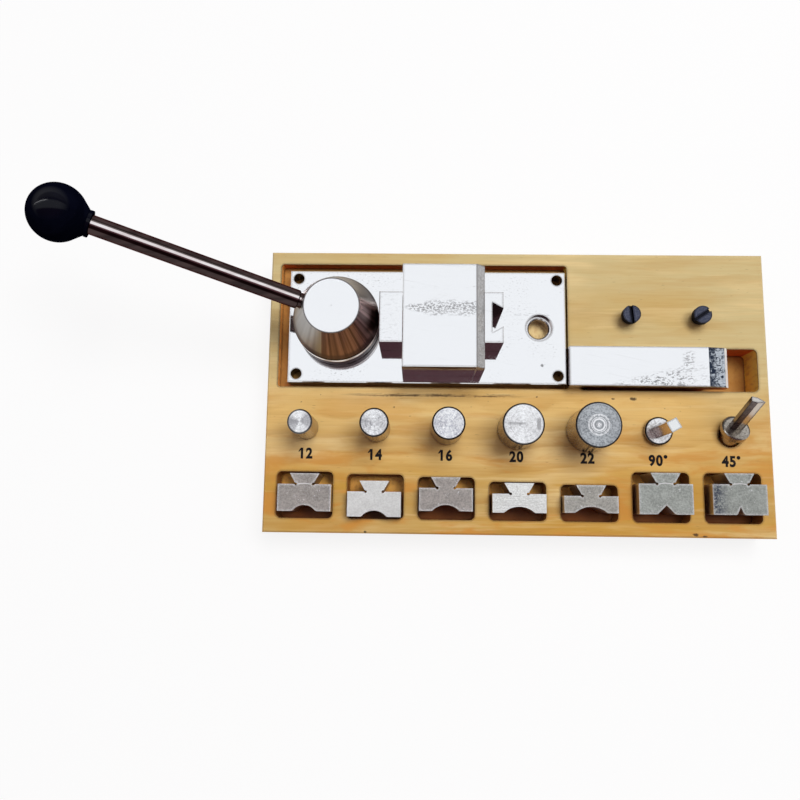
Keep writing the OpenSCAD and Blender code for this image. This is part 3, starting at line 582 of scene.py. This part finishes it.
# The hub: height of its cone, radius of its flat top, and the turned step below the cone
CONE_HEIGHT = 23.5 * MM
HUB_TOP_RADIUS = 13.35 * MM
STEP_HEIGHT = 4.8 * MM
STEP_DEPTH = 2.9 * MM
# Middles of the two grey fields on the cone, painted reflection, in degrees from +X
GREY_FIELDS = (208, 62)
# Two tones each of the cone's brown and of its grey fields, both painted reflection
CONE_BROWN = ((0.130, 0.078, 0.074), (0.370, 0.235, 0.228))
CONE_GREY = ((0.37, 0.357, 0.345), (0.255, 0.242, 0.230))
# Painted shade at the cone's foot and in the line under it, the painted highlight on the step, the band in
# painted shade and the rim of the flat top painted dark
CONE_FOOT_SHADE = (0.085, 0.058, 0.064)
FOOT_LINE = (0.020, 0.015, 0.016)
STEP_BRIGHT = (0.92, 0.91, 0.91)
BAND_DARK = (0.070, 0.057, 0.064)
HUB_RIM = (0.030, 0.018, 0.022)


def hub_steel():
    """Turned hub: bright top; cone painted brown with streaks and grey fields, a painted reflection; band
    in painted shade below a painted highlight on its step.
    """
    material, t = start("polished_hub")
    p = t.point()
    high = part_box("cam_hub")[1][2]
    foot = high - CONE_HEIGHT
    _, _, r, way = round_about(t, p, middle("cam_hub"))
    z = t.split(p)[2]
    rings = t.noise(t.join(0, 0, z), 3200, 3, 0.6)
    streak = t.noise(way, 9, 3, 0.65)
    # Painted reflection: the cone's brown streaked along its slope, and grey in two fields
    brown = t.mix(t.span(streak, 0.38, 0.66), *CONE_BROWN)
    grey = t.mix(t.span(streak, 0.30, 0.70), *CONE_GREY)
    # Mask of the two grey fields of painted reflection
    rubbed = t.most(t.span(t.vector("DOT_PRODUCT", way, toward(GREY_FIELDS[0])), 0.715, 0.740),
                    t.span(t.vector("DOT_PRODUCT", way, toward(GREY_FIELDS[1])), 0.685, 0.715))
    cone = t.mix(rubbed, brown, grey)
    # Painted shade darkens the cone's foot and the line under it; below them a painted highlight runs round
    # the turned step at the band's upper edge, and the band below is in painted shade
    cone = t.mix(t.span(z, foot + 5.5 * MM, foot + 2.5 * MM, 0.0, 0.80), cone, CONE_FOOT_SHADE)
    cone = t.mix(t.span(z, foot + 0.9 * MM, foot + 0.5 * MM), cone, FOOT_LINE)
    cone = t.mix(t.span(z, foot - 0.7 * MM, foot - 1.0 * MM), cone, STEP_BRIGHT)
    cone = t.mix(t.span(z, foot - 4.6 * MM, foot - 5.0 * MM), cone, BAND_DARK)
    step = t.times(t.span(z, foot - 0.6 * MM, foot - STEP_HEIGHT), STEP_DEPTH)
    value, _, rub = ground_finish(t, p, 0.08)
    top = t.span(z, high - 0.25 * MM, high - 0.10 * MM)
    dot = t.span(r, 0.35 * MM, 0.15 * MM, 0.0, 0.55)
    colour = t.mix(top, cone, t.mix(dot, BRIGHT, DULL))
    # Painted shade: a dark rim round the flat top
    rim = t.times(top, t.span(r, HUB_TOP_RADIUS - 0.55 * MM, HUB_TOP_RADIUS - 0.35 * MM), 0.85)
    colour = t.mix(rim, colour, HUB_RIM)
    # Painted shade: dark lines along the hub's edges
    colour = t.mix(t.times(t.edge(1.4 * MM), 0.75), colour, EDGE_DARK)
    # Heights in metres: the step, and turning lines and scratches of a thousandth of a millimetre
    grain = t.times(t.math("ADD", t.times(rings, 0.5), t.times(rub, -0.3)), 0.001 * MM)
    t.surface(Base_Color=colour, Metallic=1.0, Roughness=t.blend(top, 0.34, value),
              Normal=t.bump(t.math("ADD", grain, step), 1.0, 1.0))
    return material


# Two tones each of the painted highlight along the rod's top and of its flanks painted dark as a painted
# reflection, and the tint of its grazing reflections
ROD_TOP = ((0.86, 0.81, 0.80), (0.70, 0.61, 0.60))
ROD_FLANK = ((0.060, 0.040, 0.039), (0.030, 0.021, 0.021))
ROD_GRAZING = (0.45, 0.36, 0.36, 1)


def rod_steel():
    """Ground rod with a painted highlight along its top and its flanks painted dark as a painted
    reflection, with a fine line finish round it.
    """
    material, t = start("polished_rod")
    p = t.point()
    along = (middle("knob_insert") - middle("lever_rod")).normalized()
    top = Vector((0, 0, 1)) - along * along.z
    rings = t.noise(p, (2600, 900, 900), 3, 0.6)
    cloud = t.span(t.noise(p, (60, 300, 300), 3, 0.6), 0.35, 0.65)
    upper = t.facing(top.normalized(), 0.955, 0.99)
    # Painted highlight along the top, painted dark reflection on the flanks
    colour = t.mix(upper, t.mix(cloud, *ROD_FLANK), t.mix(cloud, *ROD_TOP))
    t.surface(Base_Color=colour, Metallic=1.0, Roughness=t.span(rings, 0.3, 0.7, 0.05, 0.09),
              Specular_Tint=ROD_GRAZING, Normal=t.bump(rings, 0.01, 0.02 * MM))
    return material


# Ends of the punches where they are bright, mottled and swirled, their sides painted warm as a painted
# reflection of the wood, and the rim painted dark as painted shade
END_BRIGHT = (0.93, 0.93, 0.935)
END_DARK = (0.42, 0.42, 0.44)
CORE_BRIGHT = (0.93, 0.93, 0.94)
PUNCH_SIDE = (0.40, 0.325, 0.275)
PUNCH_RIM = (0.016, 0.011, 0.010)
PUNCH_ROUGH = 0.24
# Direction of the two painted highlight lobes on an end, in degrees from +X
LOBE = 105


def turned(node, mottle, bright=END_BRIGHT, dark=END_DARK, core=0.0, bow=0.0, rim=0.97, marks=None):
    """Lathe-turned steel about a punch's own axis: tool rings on its end, its side painted warm as a
    painted reflection.

    mottle, bow and rim are the shares of blotches, of the painted shade in the sectors beside the painted
    highlight lobes and of the painted dark rim; core is the radius of a bright middle; marks(t, dx, dy)
    masks dull marks.
    """
    material, t = start(node.replace("punch", "turned"))
    p = t.point()
    low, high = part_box(node)
    dx, dy, r, way = round_about(t, p, middle(node))
    z = t.split(p)[2]
    rings = t.noise(t.join(r, 0, 0), 3600, 3, 0.6)
    coarse = t.noise(t.join(r, 0, 0), 900, 2, 0.5)
    band = t.noise(t.join(0, 0, z), 2600, 3, 0.6)
    blotch = t.noise(p, (1250, 1250, 500), 3, 0.7)
    fan = t.noise(way, 2.2, 3, 0.6)
    shade = t.math("ADD", t.times(t.span(blotch, 0.42, 0.64), mottle),
                   t.span(coarse, 0.45, 0.65, 0.0, 0.30))
    lobe = t.math("POWER", t.vector("DOT_PRODUCT", way, toward(LOBE)), 2.0)
    # Painted sheen: darker sectors beside the two bright lobes
    shade = t.math("ADD", shade, t.times(t.span(lobe, 0.75, 0.20), bow))
    shade = t.math("ADD", shade, t.span(fan, 0.40, 0.65, -0.10, 0.30), clamp=True)
    if core:
        inner = t.span(r, core, core - 0.5 * MM)
        swirl = t.span(t.math("ADD", coarse, t.times(blotch, 0.25)), 0.56, 0.68)
        shade = t.blend(inner, shade, t.times(swirl, 0.85))
        bright = t.mix(inner, bright, CORE_BRIGHT)
    colour = t.mix(shade, bright, dark)
    if marks:
        colour = t.mix(marks(t, dx, dy), colour, DULL)
    # Painted reflection: the side takes a warm colour
    colour = t.mix(t.side(), colour, PUNCH_SIDE)
    # The broken edge round the end is painted dark: painted shade
    outer = (high[0] - low[0]) / 2
    ring = t.times(t.span(r, outer - 0.95 * MM, outer - 0.60 * MM), t.level(), rim)
    colour = t.mix(t.most(ring, t.times(t.edge(1.2 * MM), 0.6)), colour, PUNCH_RIM)
    value = t.math("ADD", t.span(rings, 0.3, 0.7, PUNCH_ROUGH - 0.05, PUNCH_ROUGH + 0.06),
                   t.times(shade, 0.10))
    height = t.math("ADD", t.times(rings, 0.6), t.times(band, 0.4))
    tangent = t.add("Tangent", direction_type="RADIAL", axis="Z").outputs[0]
    t.surface(Base_Color=colour, Metallic=1.0, Roughness=value, Normal=t.bump(height, 0.10, 0.02 * MM),
              Anisotropic=0.45, Tangent=tangent)
    return material


# The sharp blade: two tones of its flats painted brown as a painted reflection, its right side and its tip
# painted lighter as painted light, the way the tip faces, and its edges painted dark as painted shade
BLADE_FLAT = ((0.250, 0.200, 0.190), (0.160, 0.125, 0.120))
BLADE_RIGHT = (0.52, 0.45, 0.38)
BLADE_TIP = (0.62, 0.60, 0.58)
TIP_WAY = (0.10, 0.42, 0.90)
BLADE_EDGE = (0.035, 0.022, 0.022)


def sharp_steel():
    """The sharp blade: flats painted brown as a painted reflection, painted light on its right side and
    tip, edges in painted shade.
    """
    material, t = start("blade_steel_45")
    p = t.point()
    value, height, _ = ground_finish(t, p, 0.20)
    colour = t.mix(t.span(t.noise(p, 500, 3, 0.6), 0.35, 0.65), *BLADE_FLAT)
    # Painted light on the right side and the tip; painted shade on the edges
    colour = t.mix(t.facing((1, 0, 0), 0.02, 0.10), colour, BLADE_RIGHT)
    colour = t.mix(t.facing(TIP_WAY, 0.80, 0.90), colour, BLADE_TIP)
    colour = t.mix(t.times(t.edge(EDGE_REACH), 0.90), colour, BLADE_EDGE)
    t.surface(Base_Color=colour, Metallic=1.0, Roughness=value, Normal=t.bump(height, *FINE_LINES))
    return material


def smudge_20(t, dx, dy):
    """A grey smear to the left of the middle and a bruise by the right edge."""
    smear = t.times(t.span(t.off(dy, 0.2 * MM), 0.9 * MM, 0.2 * MM), t.span(dx, 2 * MM, 0.5 * MM),
                    t.span(dx, -8 * MM, -6.5 * MM))
    bruise = t.times(t.span(t.off(dx, 7.2 * MM), 1.1 * MM, 0.7 * MM),
                     t.span(t.off(dy, 0.0), 3.2 * MM, 2.2 * MM))
    return t.most(t.times(smear, 0.50), t.times(bruise, 0.70))


# Sides of the dies painted warm as a painted reflection, the painted highlight along their edges, the blued
# end of one, and half the length of the painted highlight line on the neck
DIE_SIDE = (0.42, 0.37, 0.345)
DIE_EDGE_HIGHLIGHT = (0.93, 0.925, 0.92)
DIE_BLUE = (0.075, 0.085, 0.125)
NECK_HALF = 4.8 * MM


def die_steel(name, node, bright, dark, rough, neck_line=False, blued=False):
    """Ground die steel, grey and speckled, with a painted highlight along its edges and its sides painted
    warm as a painted reflection.
    """
    material, t = start(name)
    p = t.point()
    low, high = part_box(node)
    x, y, _ = t.split(p)
    speck = t.noise(p, 1150, 3, 0.75)
    cloud = t.noise(p, 150, 3, 0.6)
    lines = t.noise(p, (45, 2600, 2600), 3, 0.6)
    shade = t.math("ADD", t.span(speck, 0.40, 0.62, 0.10, 0.68), t.span(cloud, 0.3, 0.7, -0.12, 0.30),
                   clamp=True)
    colour = t.mix(shade, bright, dark)
    bit = t.span(t.noise(p, (600, 700, 700), 3, 0.7), 0.64, 0.69)
    colour = t.mix(t.times(bit, 0.75), colour, BRIGHT)
    if blued:
        blots = t.span(t.noise(p, (800, 900, 900), 4, 0.8, 0.6), 0.40, 0.54)
        left = t.times(t.span(x, low[0] + 9 * MM, low[0] + 1 * MM), blots)
        colour = t.mix(left, colour, DIE_BLUE)
    # Painted highlight along the edges, mottled by the speckle
    worn = t.times(t.edge(2.0 * MM), t.span(speck, 0.30, 0.60, 1.0, 0.60))
    if neck_line:
        # A painted highlight line sagging across the neck from one corner to the other
        line_y = high[1] - 5.0 * MM
        across = t.math("DIVIDE", t.math("SUBTRACT", x, middle(node).x), NECK_HALF)
        sag = t.math("MULTIPLY_ADD", t.times(across, across), -0.9 * MM, line_y)
        line = t.times(t.span(t.off(y, sag), 0.34 * MM, 0.12 * MM),
                       t.span(t.math("ABSOLUTE", across), 1.05, 0.95))
        worn = t.most(worn, t.times(line, 0.9))
    # Painted reflection on the sides, then the painted highlights
    colour = t.mix(t.side(), colour, DIE_SIDE)
    colour = t.mix(worn, colour, DIE_EDGE_HIGHLIGHT)
    value = t.math("ADD", t.span(lines, 0.3, 0.7, rough - 0.06, rough + 0.06),
                   t.span(speck, 0.3, 0.7, -0.04, 0.08))
    t.surface(Base_Color=colour, Metallic=1.0, Roughness=value,
              Normal=t.bump(t.math("ADD", speck, t.times(lines, 0.5)), 0.12, 0.03 * MM))
    return material


# Two tones each of blackened steel and of its rubbed tops, its edges painted darker as painted shade, and
# the tint of grazing reflections
OXIDE = ((0.012, 0.013, 0.019), (0.040, 0.042, 0.055))
OXIDE_WORN = ((0.046, 0.053, 0.088), (0.130, 0.140, 0.190))
OXIDE_EDGE = (0.006, 0.006, 0.008)
OXIDE_GRAZING = (0.32, 0.33, 0.40, 1)
# Two tones each of black plastic and of bronze; dust; ink, and ink where the grain shows through
KNOB_BLACK = ((0.0011, 0.0014, 0.0046), (0.0024, 0.0028, 0.0078))
BRONZE = ((0.72, 0.47, 0.20), (0.50, 0.29, 0.11))
DUST_GREY = (0.06, 0.06, 0.06)
INK_BLACK = (0.010, 0.009, 0.010)
INK_THIN = (0.09, 0.06, 0.04)


def black_oxide(name, face=None):
    """Blackened steel; where face gives the height of a top, that top is rubbed to blue grey."""
    material, t = start(name)
    p = t.point()
    rub = t.noise(p, 1500, 4, 0.7)
    lines = t.noise(p, (700, 700, 5200), 2, 0.6)
    colour = t.mix(t.span(rub, 0.40, 0.72), *OXIDE)
    if face:
        z = t.split(p)[2]
        worn = t.mix(t.span(rub, 0.36, 0.66), *OXIDE_WORN)
        colour = t.mix(t.span(z, face - 0.35 * MM, face - 0.10 * MM), colour, worn)
        # Painted shade: darker edges round the head
        colour = t.mix(t.times(t.edge(1.6 * MM), 0.9), colour, OXIDE_EDGE)
    t.surface(Base_Color=colour, Metallic=0.85, Roughness=t.span(rub, 0.3, 0.7, 0.30, 0.46),
              Specular_Tint=OXIDE_GRAZING, Normal=t.bump(lines, 0.08, 0.03 * MM))
    return material


def black_knob():
    """Moulded plastic, glossy on top where the palm rubs it, with flow marks, dust and fine scratches."""
    material, t = start("black_plastic")
    p = t.point()
    flow = t.noise(p, (60, 60, 180), 3, 0.6, 0.8)
    dust = t.span(t.noise(p, 2600, 2, 0.6), 0.74, 0.80)
    rub = t.most(scratches(t, p, 40, 60, 2400, 0.70, 0.76), scratches(t, p, -25, 70, 2200, 0.70, 0.76))
    colour = t.mix(t.span(flow, 0.3, 0.7), *KNOB_BLACK)
    colour = t.mix(t.times(dust, 0.15), colour, DUST_GREY)
    value = t.math("ADD", t.span(flow, 0.3, 0.7, 0.30, 0.40), t.times(rub, 0.15))
    gloss = t.times(t.facing((0.15, 0.0, 0.99), 0.78, 0.96), 0.32)
    t.surface(Base_Color=colour, Roughness=value, Specular_IOR_Level=0.0, Coat_Weight=gloss,
              Coat_Roughness=0.10, Normal=t.bump(flow, 0.04, 0.1 * MM))
    return material


def bronze():
    """Turned bronze, clouded brown."""
    material, t = start("bronze")
    p = t.point()
    cloud = t.noise(p, 320, 4, 0.6)
    lines = t.noise(p, (900, 900, 3000), 3, 0.6)
    colour = t.mix(t.span(cloud, 0.3, 0.7), *BRONZE)
    t.surface(Base_Color=colour, Metallic=1.0, Roughness=t.span(lines, 0.3, 0.7, 0.24, 0.38),
              Normal=t.bump(lines, 0.08, 0.03 * MM))
    return material


def ink():
    """Printed black marks, a little thin where the wood's grain shows through."""
    material, t = start("black_ink")
    p = t.point()
    grain = t.noise(p, (160, 2600, 2600), 3, 0.6)
    colour = t.mix(t.span(grain, 0.60, 0.82, 0.0, 0.45), INK_BLACK, INK_THIN)
    t.surface(Base_Color=colour, Roughness=t.span(grain, 0.3, 0.7, 0.45, 0.60), Specular_IOR_Level=0.12)
    return material


wear("wood_base", pine())
# The flank colours given here are painted reflection on the upright faces
wear("base_plate", polished("polished_plate", rough=0.05, flank=(0.100, 0.082, 0.082), marks=plate_marks))
wear("bridge", polished("polished_bridge", rough=0.10, flank=(0.40, 0.345, 0.37), marks=bridge_marks))
wear("slide", slide_steel())
wear("vice_bar", bar_steel())
wear("cam_hub", hub_steel())
wear("lever_rod", rod_steel())
wear("punch_bush", polished("bush_steel", rough=0.18, tint=(0.84, 0.84, 0.85)))
plain = die_steel("plain_steel", "stop_pin", bright=(0.66, 0.66, 0.67), dark=(0.42, 0.42, 0.43), rough=0.30)
for name in ("return_spring", "stop_pin", "pivot_shaft"):
    wear(name, plain)
oxide = black_oxide("black_oxide_steel")
screw_black = black_oxide("black_oxide_screw", face=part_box("bar_screw_left")[1][2])
for name in ("bridge_screws", "retaining_ring"):
    wear(name, oxide)
for name in ("bar_screw_left", "bar_screw_right"):
    wear(name, screw_black)
bearing = bronze()
for name in ("pivot_bush", "thrust_washer", "knob_insert"):
    wear(name, bearing)
wear("ball_knob", black_knob())

# What sets each punch's steel apart
PUNCHES = {
    "punch_12": {"mottle": 0.25, "bow": 0.65, "rim": 0.90},
    "punch_14": {"mottle": 0.50, "bow": 0.25},
    "punch_16": {"mottle": 0.60, "dark": (0.44, 0.45, 0.53), "rim": 1.0},
    "punch_20": {"mottle": 0.45, "bright": (0.97, 0.97, 0.975), "dark": (0.55, 0.55, 0.56),
                 "marks": smudge_20},
    "punch_22": {"mottle": 0.90, "bright": (0.52, 0.54, 0.56), "dark": (0.28, 0.30, 0.32),
                 "core": 5.4 * MM},
    "punch_90": {"mottle": 0.70, "dark": (0.42, 0.40, 0.39)},
    "punch_45": {"mottle": 0.80, "bright": (0.50, 0.47, 0.43), "dark": (0.22, 0.20, 0.175), "rim": 0.80},
}
for name, features in PUNCHES.items():
    wear(name, turned(name, **features))
# Its flank colour is painted reflection on the upright faces
wear("blade_90", polished("blade_steel_90", rough=0.16, tint=(0.84, 0.85, 0.84), flank=(0.42, 0.35, 0.29)))
wear("blade_45", sharp_steel())

# Lighter and darker speckles of four batches of steel
WARM_DIE = ((0.610, 0.560, 0.520), (0.355, 0.326, 0.302))
GREY_DIE = ((0.640, 0.620, 0.562), (0.370, 0.358, 0.324))
COOL_DIE = ((0.622, 0.655, 0.605), (0.360, 0.378, 0.350))
LIGHT_DIE = ((0.98, 0.98, 0.95), (0.80, 0.80, 0.770))
# Each die's batch, and how much of its brightness is left
DIE_TONE = {"12": (WARM_DIE, 0.88), "14": (LIGHT_DIE, 0.96), "16": (WARM_DIE, 0.96), "20": (LIGHT_DIE, 1.0),
            "22": (GREY_DIE, 1.0), "90": (COOL_DIE, 0.95), "45": (COOL_DIE, 0.88)}
# The two lighter dies are ground finer than the others
DIE_ROUGH = {"14": 0.35, "20": 0.29}
OTHER_ROUGH = 0.38
for size, (batch, tone) in DIE_TONE.items():
    bright, dark = (tuple(c * tone for c in colour) for colour in batch)
    steel = die_steel("ground_steel_" + size, "die_" + size, bright, dark, DIE_ROUGH.get(size, OTHER_ROUGH),
                      neck_line=size in ("12", "90", "45"), blued=size == "45")
    wear("die_" + size, steel)


# Printed size marks: text, x, y of their middles on the board's face, in millimetres

MARKS = (("12", -105.8, -32.8), ("14", -70.8, -33.1), ("16", -35.5, -33.1), ("20", -0.5, -33.4),
         ("22", 34.9, -33.7), ("90", 68.8, -34.5), ("45", 104.9, -34.5))
MARK_NARROW = 0.88
MARK_SIZE = 7.2 * MM
MARK_WEIGHT = 0.31 * MM
MARK_SPACING = 1.16
MARK_CURVE_STEPS = 6
# Half of the ink's thickness
INK_HALF = 0.03 * MM
DEGREE_RADIUS = 0.95 * MM
DEGREE_STEPS = 20
FLAG = 1.35 * MM
marks_ink = ink()
board_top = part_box("wood_base")[1][2]


def text_mesh(text):
    """Thin mesh of a text in the built-in typeface about the origin, and half its width and height."""
    curve = bpy.data.curves.new("mark_text", "FONT")
    curve.body = text
    curve.size = MARK_SIZE
    curve.space_character = MARK_SPACING
    curve.offset = MARK_WEIGHT
    curve.extrude = INK_HALF
    curve.resolution_u = MARK_CURVE_STEPS
    holder = bpy.data.objects.new("mark_text", curve)
    scene.collection.objects.link(holder)
    bpy.context.view_layer.update()
    evaluated = holder.evaluated_get(bpy.context.evaluated_depsgraph_get())
    mesh = bpy.data.meshes.new_from_object(evaluated)
    bpy.data.objects.remove(holder)
    (left, right), (bottom, top) = [[f(v.co[k] for v in mesh.vertices) for f in (min, max)] for k in (0, 1)]
    for v in mesh.vertices:
        v.co -= Vector(((left + right) / 2, (bottom + top) / 2, 0))
        v.co.x *= MARK_NARROW
    return mesh, (right - left) / 2 * MARK_NARROW, (top - bottom) / 2


def prism(mesh, outline):
    """Add a thin upright prism over an anticlockwise outline."""
    lower = [mesh.verts.new((x, y, -INK_HALF)) for x, y in outline]
    upper = [mesh.verts.new((x, y, INK_HALF)) for x, y in outline]
    mesh.faces.new(upper)
    mesh.faces.new(lower[::-1])
    for k in range(len(outline)):
        n = (k + 1) % len(outline)
        mesh.faces.new((lower[k], lower[n], upper[n], upper[k]))


def size_mark(text, x, y):
    """Print one size mark on the board, with a degree sign where it is an angle."""
    data, half_w, half_h = text_mesh(text)
    mesh = bmesh.new()
    mesh.from_mesh(data)
    if text[0] == "1":
        # Flag at the top of the figure one
        prism(mesh, [(-half_w - FLAG, half_h - 1.5 * FLAG), (-half_w - 0.4 * FLAG, half_h - 1.5 * FLAG),
                     (-half_w, half_h - 0.9 * FLAG), (-half_w, half_h)])
    if text in ("90", "45"):
        cx = half_w + 1.5 * DEGREE_RADIUS
        cy = half_h - DEGREE_RADIUS
        turns = [2 * math.pi * k / DEGREE_STEPS for k in range(DEGREE_STEPS)]
        prism(mesh, [(cx + DEGREE_RADIUS * math.cos(a), cy + DEGREE_RADIUS * math.sin(a)) for a in turns])
    bmesh.ops.translate(mesh, verts=mesh.verts, vec=(x * MM, y * MM, board_top + INK_HALF))
    mesh.to_mesh(data)
    mesh.free()
    data.materials.clear()
    data.materials.append(marks_ink)
    mark = bpy.data.objects.new("mark_" + text, data)
    scene.collection.objects.link(mark)
    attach(mark, "board")


for text, x, y in MARKS:
    size_mark(text, x, y)


# Threads of the two bar screws, between the board and their heads

THREAD_PITCH = 0.8 * MM
THREAD_RIDGE = 0.22 * MM
# Half widths of the ridge at its foot and at its crest, as shares of the pitch
THREAD_FOOT = 0.42
THREAD_CREST = 0.08
THREAD_STEPS = 28
THREAD_GAP = 0.15 * MM
# Steps over which the ridge rises at one end and falls at the other
THREAD_RUNOUT = 8
SHANK = 2.5 * MM
# Radius at which the ridge is rooted, inside the shank
THREAD_ROOT = SHANK - 0.05 * MM
HEAD_HEIGHT = 3.8 * MM


def thread(node):
    """Helical ridge on the bare shank of a screw."""
    centre = middle(node)
    bottom = board_top + THREAD_GAP
    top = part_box(node)[1][2] - HEAD_HEIGHT - THREAD_GAP
    count = int((top - bottom - THREAD_PITCH) / THREAD_PITCH * THREAD_STEPS)
    mesh = bmesh.new()
    rings = []
    for k in range(count + 1):
        a = 2 * math.pi * k / THREAD_STEPS
        z = bottom + THREAD_PITCH * (0.5 + k / THREAD_STEPS)
        crest = SHANK + THREAD_RIDGE * min(1.0, k / THREAD_RUNOUT, (count - k) / THREAD_RUNOUT)
        profile = ((THREAD_ROOT, -THREAD_FOOT), (crest, -THREAD_CREST), (crest, THREAD_CREST),
                   (THREAD_ROOT, THREAD_FOOT))
        way = Vector((math.cos(a), math.sin(a), 0))
        axis = Vector((centre.x, centre.y, z))
        places = [axis + way * r + Vector((0, 0, dz * THREAD_PITCH)) for r, dz in profile]
        rings.append([mesh.verts.new(place) for place in places])
    for a, b in zip(rings, rings[1:]):
        for j in range(4):
            mesh.faces.new((a[j], b[j], b[(j + 1) % 4], a[(j + 1) % 4]))
    mesh.faces.new(rings[0])
    mesh.faces.new(rings[-1][::-1])
    bmesh.ops.recalc_face_normals(mesh, faces=mesh.faces)
    data = bpy.data.meshes.new(node + "_thread")
    mesh.to_mesh(data)
    mesh.free()
    data.materials.append(oxide)
    piece = bpy.data.objects.new(node + "_thread", data)
    scene.collection.objects.link(piece)
    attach(piece, node + "_tool")


thread("bar_screw_left")
thread("bar_screw_right")


# Studio: white floor and backdrop, a strip of ceiling in a dim room, and one lamp

FLOOR_HALF = 4.0
FLOOR_GREY = (0.86, 0.86, 0.86, 1)
WHITE = (1, 1, 1)


def floor():
    """A floor that looks white and keeps a soft shadow of the object."""
    material, t = start("pale_floor")
    path = t.add("LightPath").outputs
    seen = t.most(path["Is Camera Ray"], path["Is Glossy Ray"], path["Is Transmission Ray"])
    matt = t.add("BsdfDiffuse")
    t.put(matt.inputs["Color"], FLOOR_GREY)
    glow = t.add("Emission")
    t.put(glow.inputs["Color"], (*WHITE, 1))
    both = t.add("MixShader")
    # The object's shadow shows near it, and the far floor is as white as the backdrop
    away = t.vector("LENGTH", t.point())
    t.put(both.inputs[0], t.times(seen, t.span(away, 0.5, 1.5, 0.86, 1.0)))
    t.put(both.inputs[1], matt.outputs[0])
    t.put(both.inputs[2], glow.outputs[0])
    t.put(t.add("OutputMaterial").inputs["Surface"], both.outputs[0])
    mesh = bpy.data.meshes.new("floor")
    corners = [(x * FLOOR_HALF, y * FLOOR_HALF, 0) for x, y in ((-1, -1), (1, -1), (1, 1), (-1, 1))]
    mesh.from_pydata(corners, [], [(0, 1, 2, 3)])
    mesh.materials.append(material)
    piece = bpy.data.objects.new("floor", mesh)
    scene.collection.objects.link(piece)


# The room towards the left, the right, the back and the front, and the strip of ceiling
ROOM_LEFT = (0.36, 0.345, 0.335)
ROOM_RIGHT = (0.20, 0.18, 0.17)
ROOM_BACK = (0.13, 0.100, 0.095)
ROOM_FRONT = (0.125, 0.060, 0.071)
STRIP_WHITE = (0.95, 0.97, 1.0)
# What the lamp tube adds to the strength of 1
TUBE_STRENGTH = 13.0


def world():
    """A dim room with a white strip of ceiling overhead and a lamp tube in it.

    The camera sees a white backdrop instead, and reflections see it low down and faintly at the back.
    """
    made = bpy.data.worlds.new("studio")
    made.use_nodes = True
    scene.world = made
    t = Tree(made.node_tree)
    d = t.vector("NORMALIZE", t.add("TexCoord").outputs["Generated"])
    x, y, z = t.split(d)
    room = t.mix(t.span(x, -0.8, 0.8), ROOM_LEFT, ROOM_RIGHT)
    room = t.mix(t.span(y, 0.30, 0.55), room, ROOM_BACK)
    room = t.mix(t.span(y, -0.03, -0.14), room, ROOM_FRONT)
    above = t.most(z, 0.05)
    slope = t.math("DIVIDE", y, above)
    strip = t.times(t.span(z, 0.34, 0.52), t.span(slope, -0.14, -0.03), t.span(slope, 0.56, 0.44))
    sky = t.mix(strip, room, STRIP_WHITE)
    path = t.add("LightPath").outputs
    tube = t.times(t.span(slope, 0.42, 0.46), t.span(slope, 0.53, 0.49), t.span(z, 0.34, 0.45),
                   t.span(t.math("DIVIDE", x, above), -0.15, -0.40), path["Is Glossy Ray"])
    pale = t.most(t.span(z, 0.62, 0.42), t.span(slope, 0.60, 0.90, 0.0, 0.35))
    backdrop = t.times(t.most(path["Is Glossy Ray"], path["Is Transmission Ray"]), pale)
    sky = t.mix(t.most(path["Is Camera Ray"], backdrop), sky, WHITE)
    glow = t.add("Background")
    t.put(glow.inputs["Color"], sky)
    t.put(glow.inputs["Strength"], t.math("MULTIPLY_ADD", tube, TUBE_STRENGTH, 1.0))
    t.put(t.add("OutputWorld").inputs["Surface"], glow.outputs[0])


# The lamp: place, the point it aims at, width and height, and power in watts
LAMP_PLACE = Vector((0.55, 0.58, 2.10))
LAMP_AIM = Vector((0, 0, 0.02))
LAMP_SIZE = (1.4, 0.8)
LAMP_POWER = 38.5


def lamp():
    """A soft lamp high at the back right, which neither the camera nor reflections see."""
    light = bpy.data.lights.new("key", "AREA")
    light.shape = "RECTANGLE"
    light.size, light.size_y = LAMP_SIZE
    light.energy = LAMP_POWER
    piece = bpy.data.objects.new("key", light)
    piece.location = LAMP_PLACE
    piece.rotation_euler = (LAMP_AIM - LAMP_PLACE).to_track_quat("-Z", "Y").to_euler()
    piece.visible_camera = False
    piece.visible_glossy = False
    scene.collection.objects.link(piece)


floor()
world()
lamp()

# Camera fitted to the photograph's view: metres, degrees, and pixels of focal length and width
CAMERA_PLACE = (-0.05052, -0.06715, 0.42839)
CAMERA_TURN = (8.733, 1.108, 0.778)
FOCAL_PIXELS = 804.2
FRAME_PIXELS = 800
camera = bpy.data.cameras.new("camera")
camera.lens = camera.sensor_width * FOCAL_PIXELS / FRAME_PIXELS
camera.clip_start = 0.01
camera.clip_end = 50
eye = bpy.data.objects.new("camera", camera)
eye.location = CAMERA_PLACE
eye.rotation_euler = [math.radians(a) for a in CAMERA_TURN]
scene.collection.objects.link(eye)
scene.camera = eye
scene.view_settings.view_transform = "Standard"
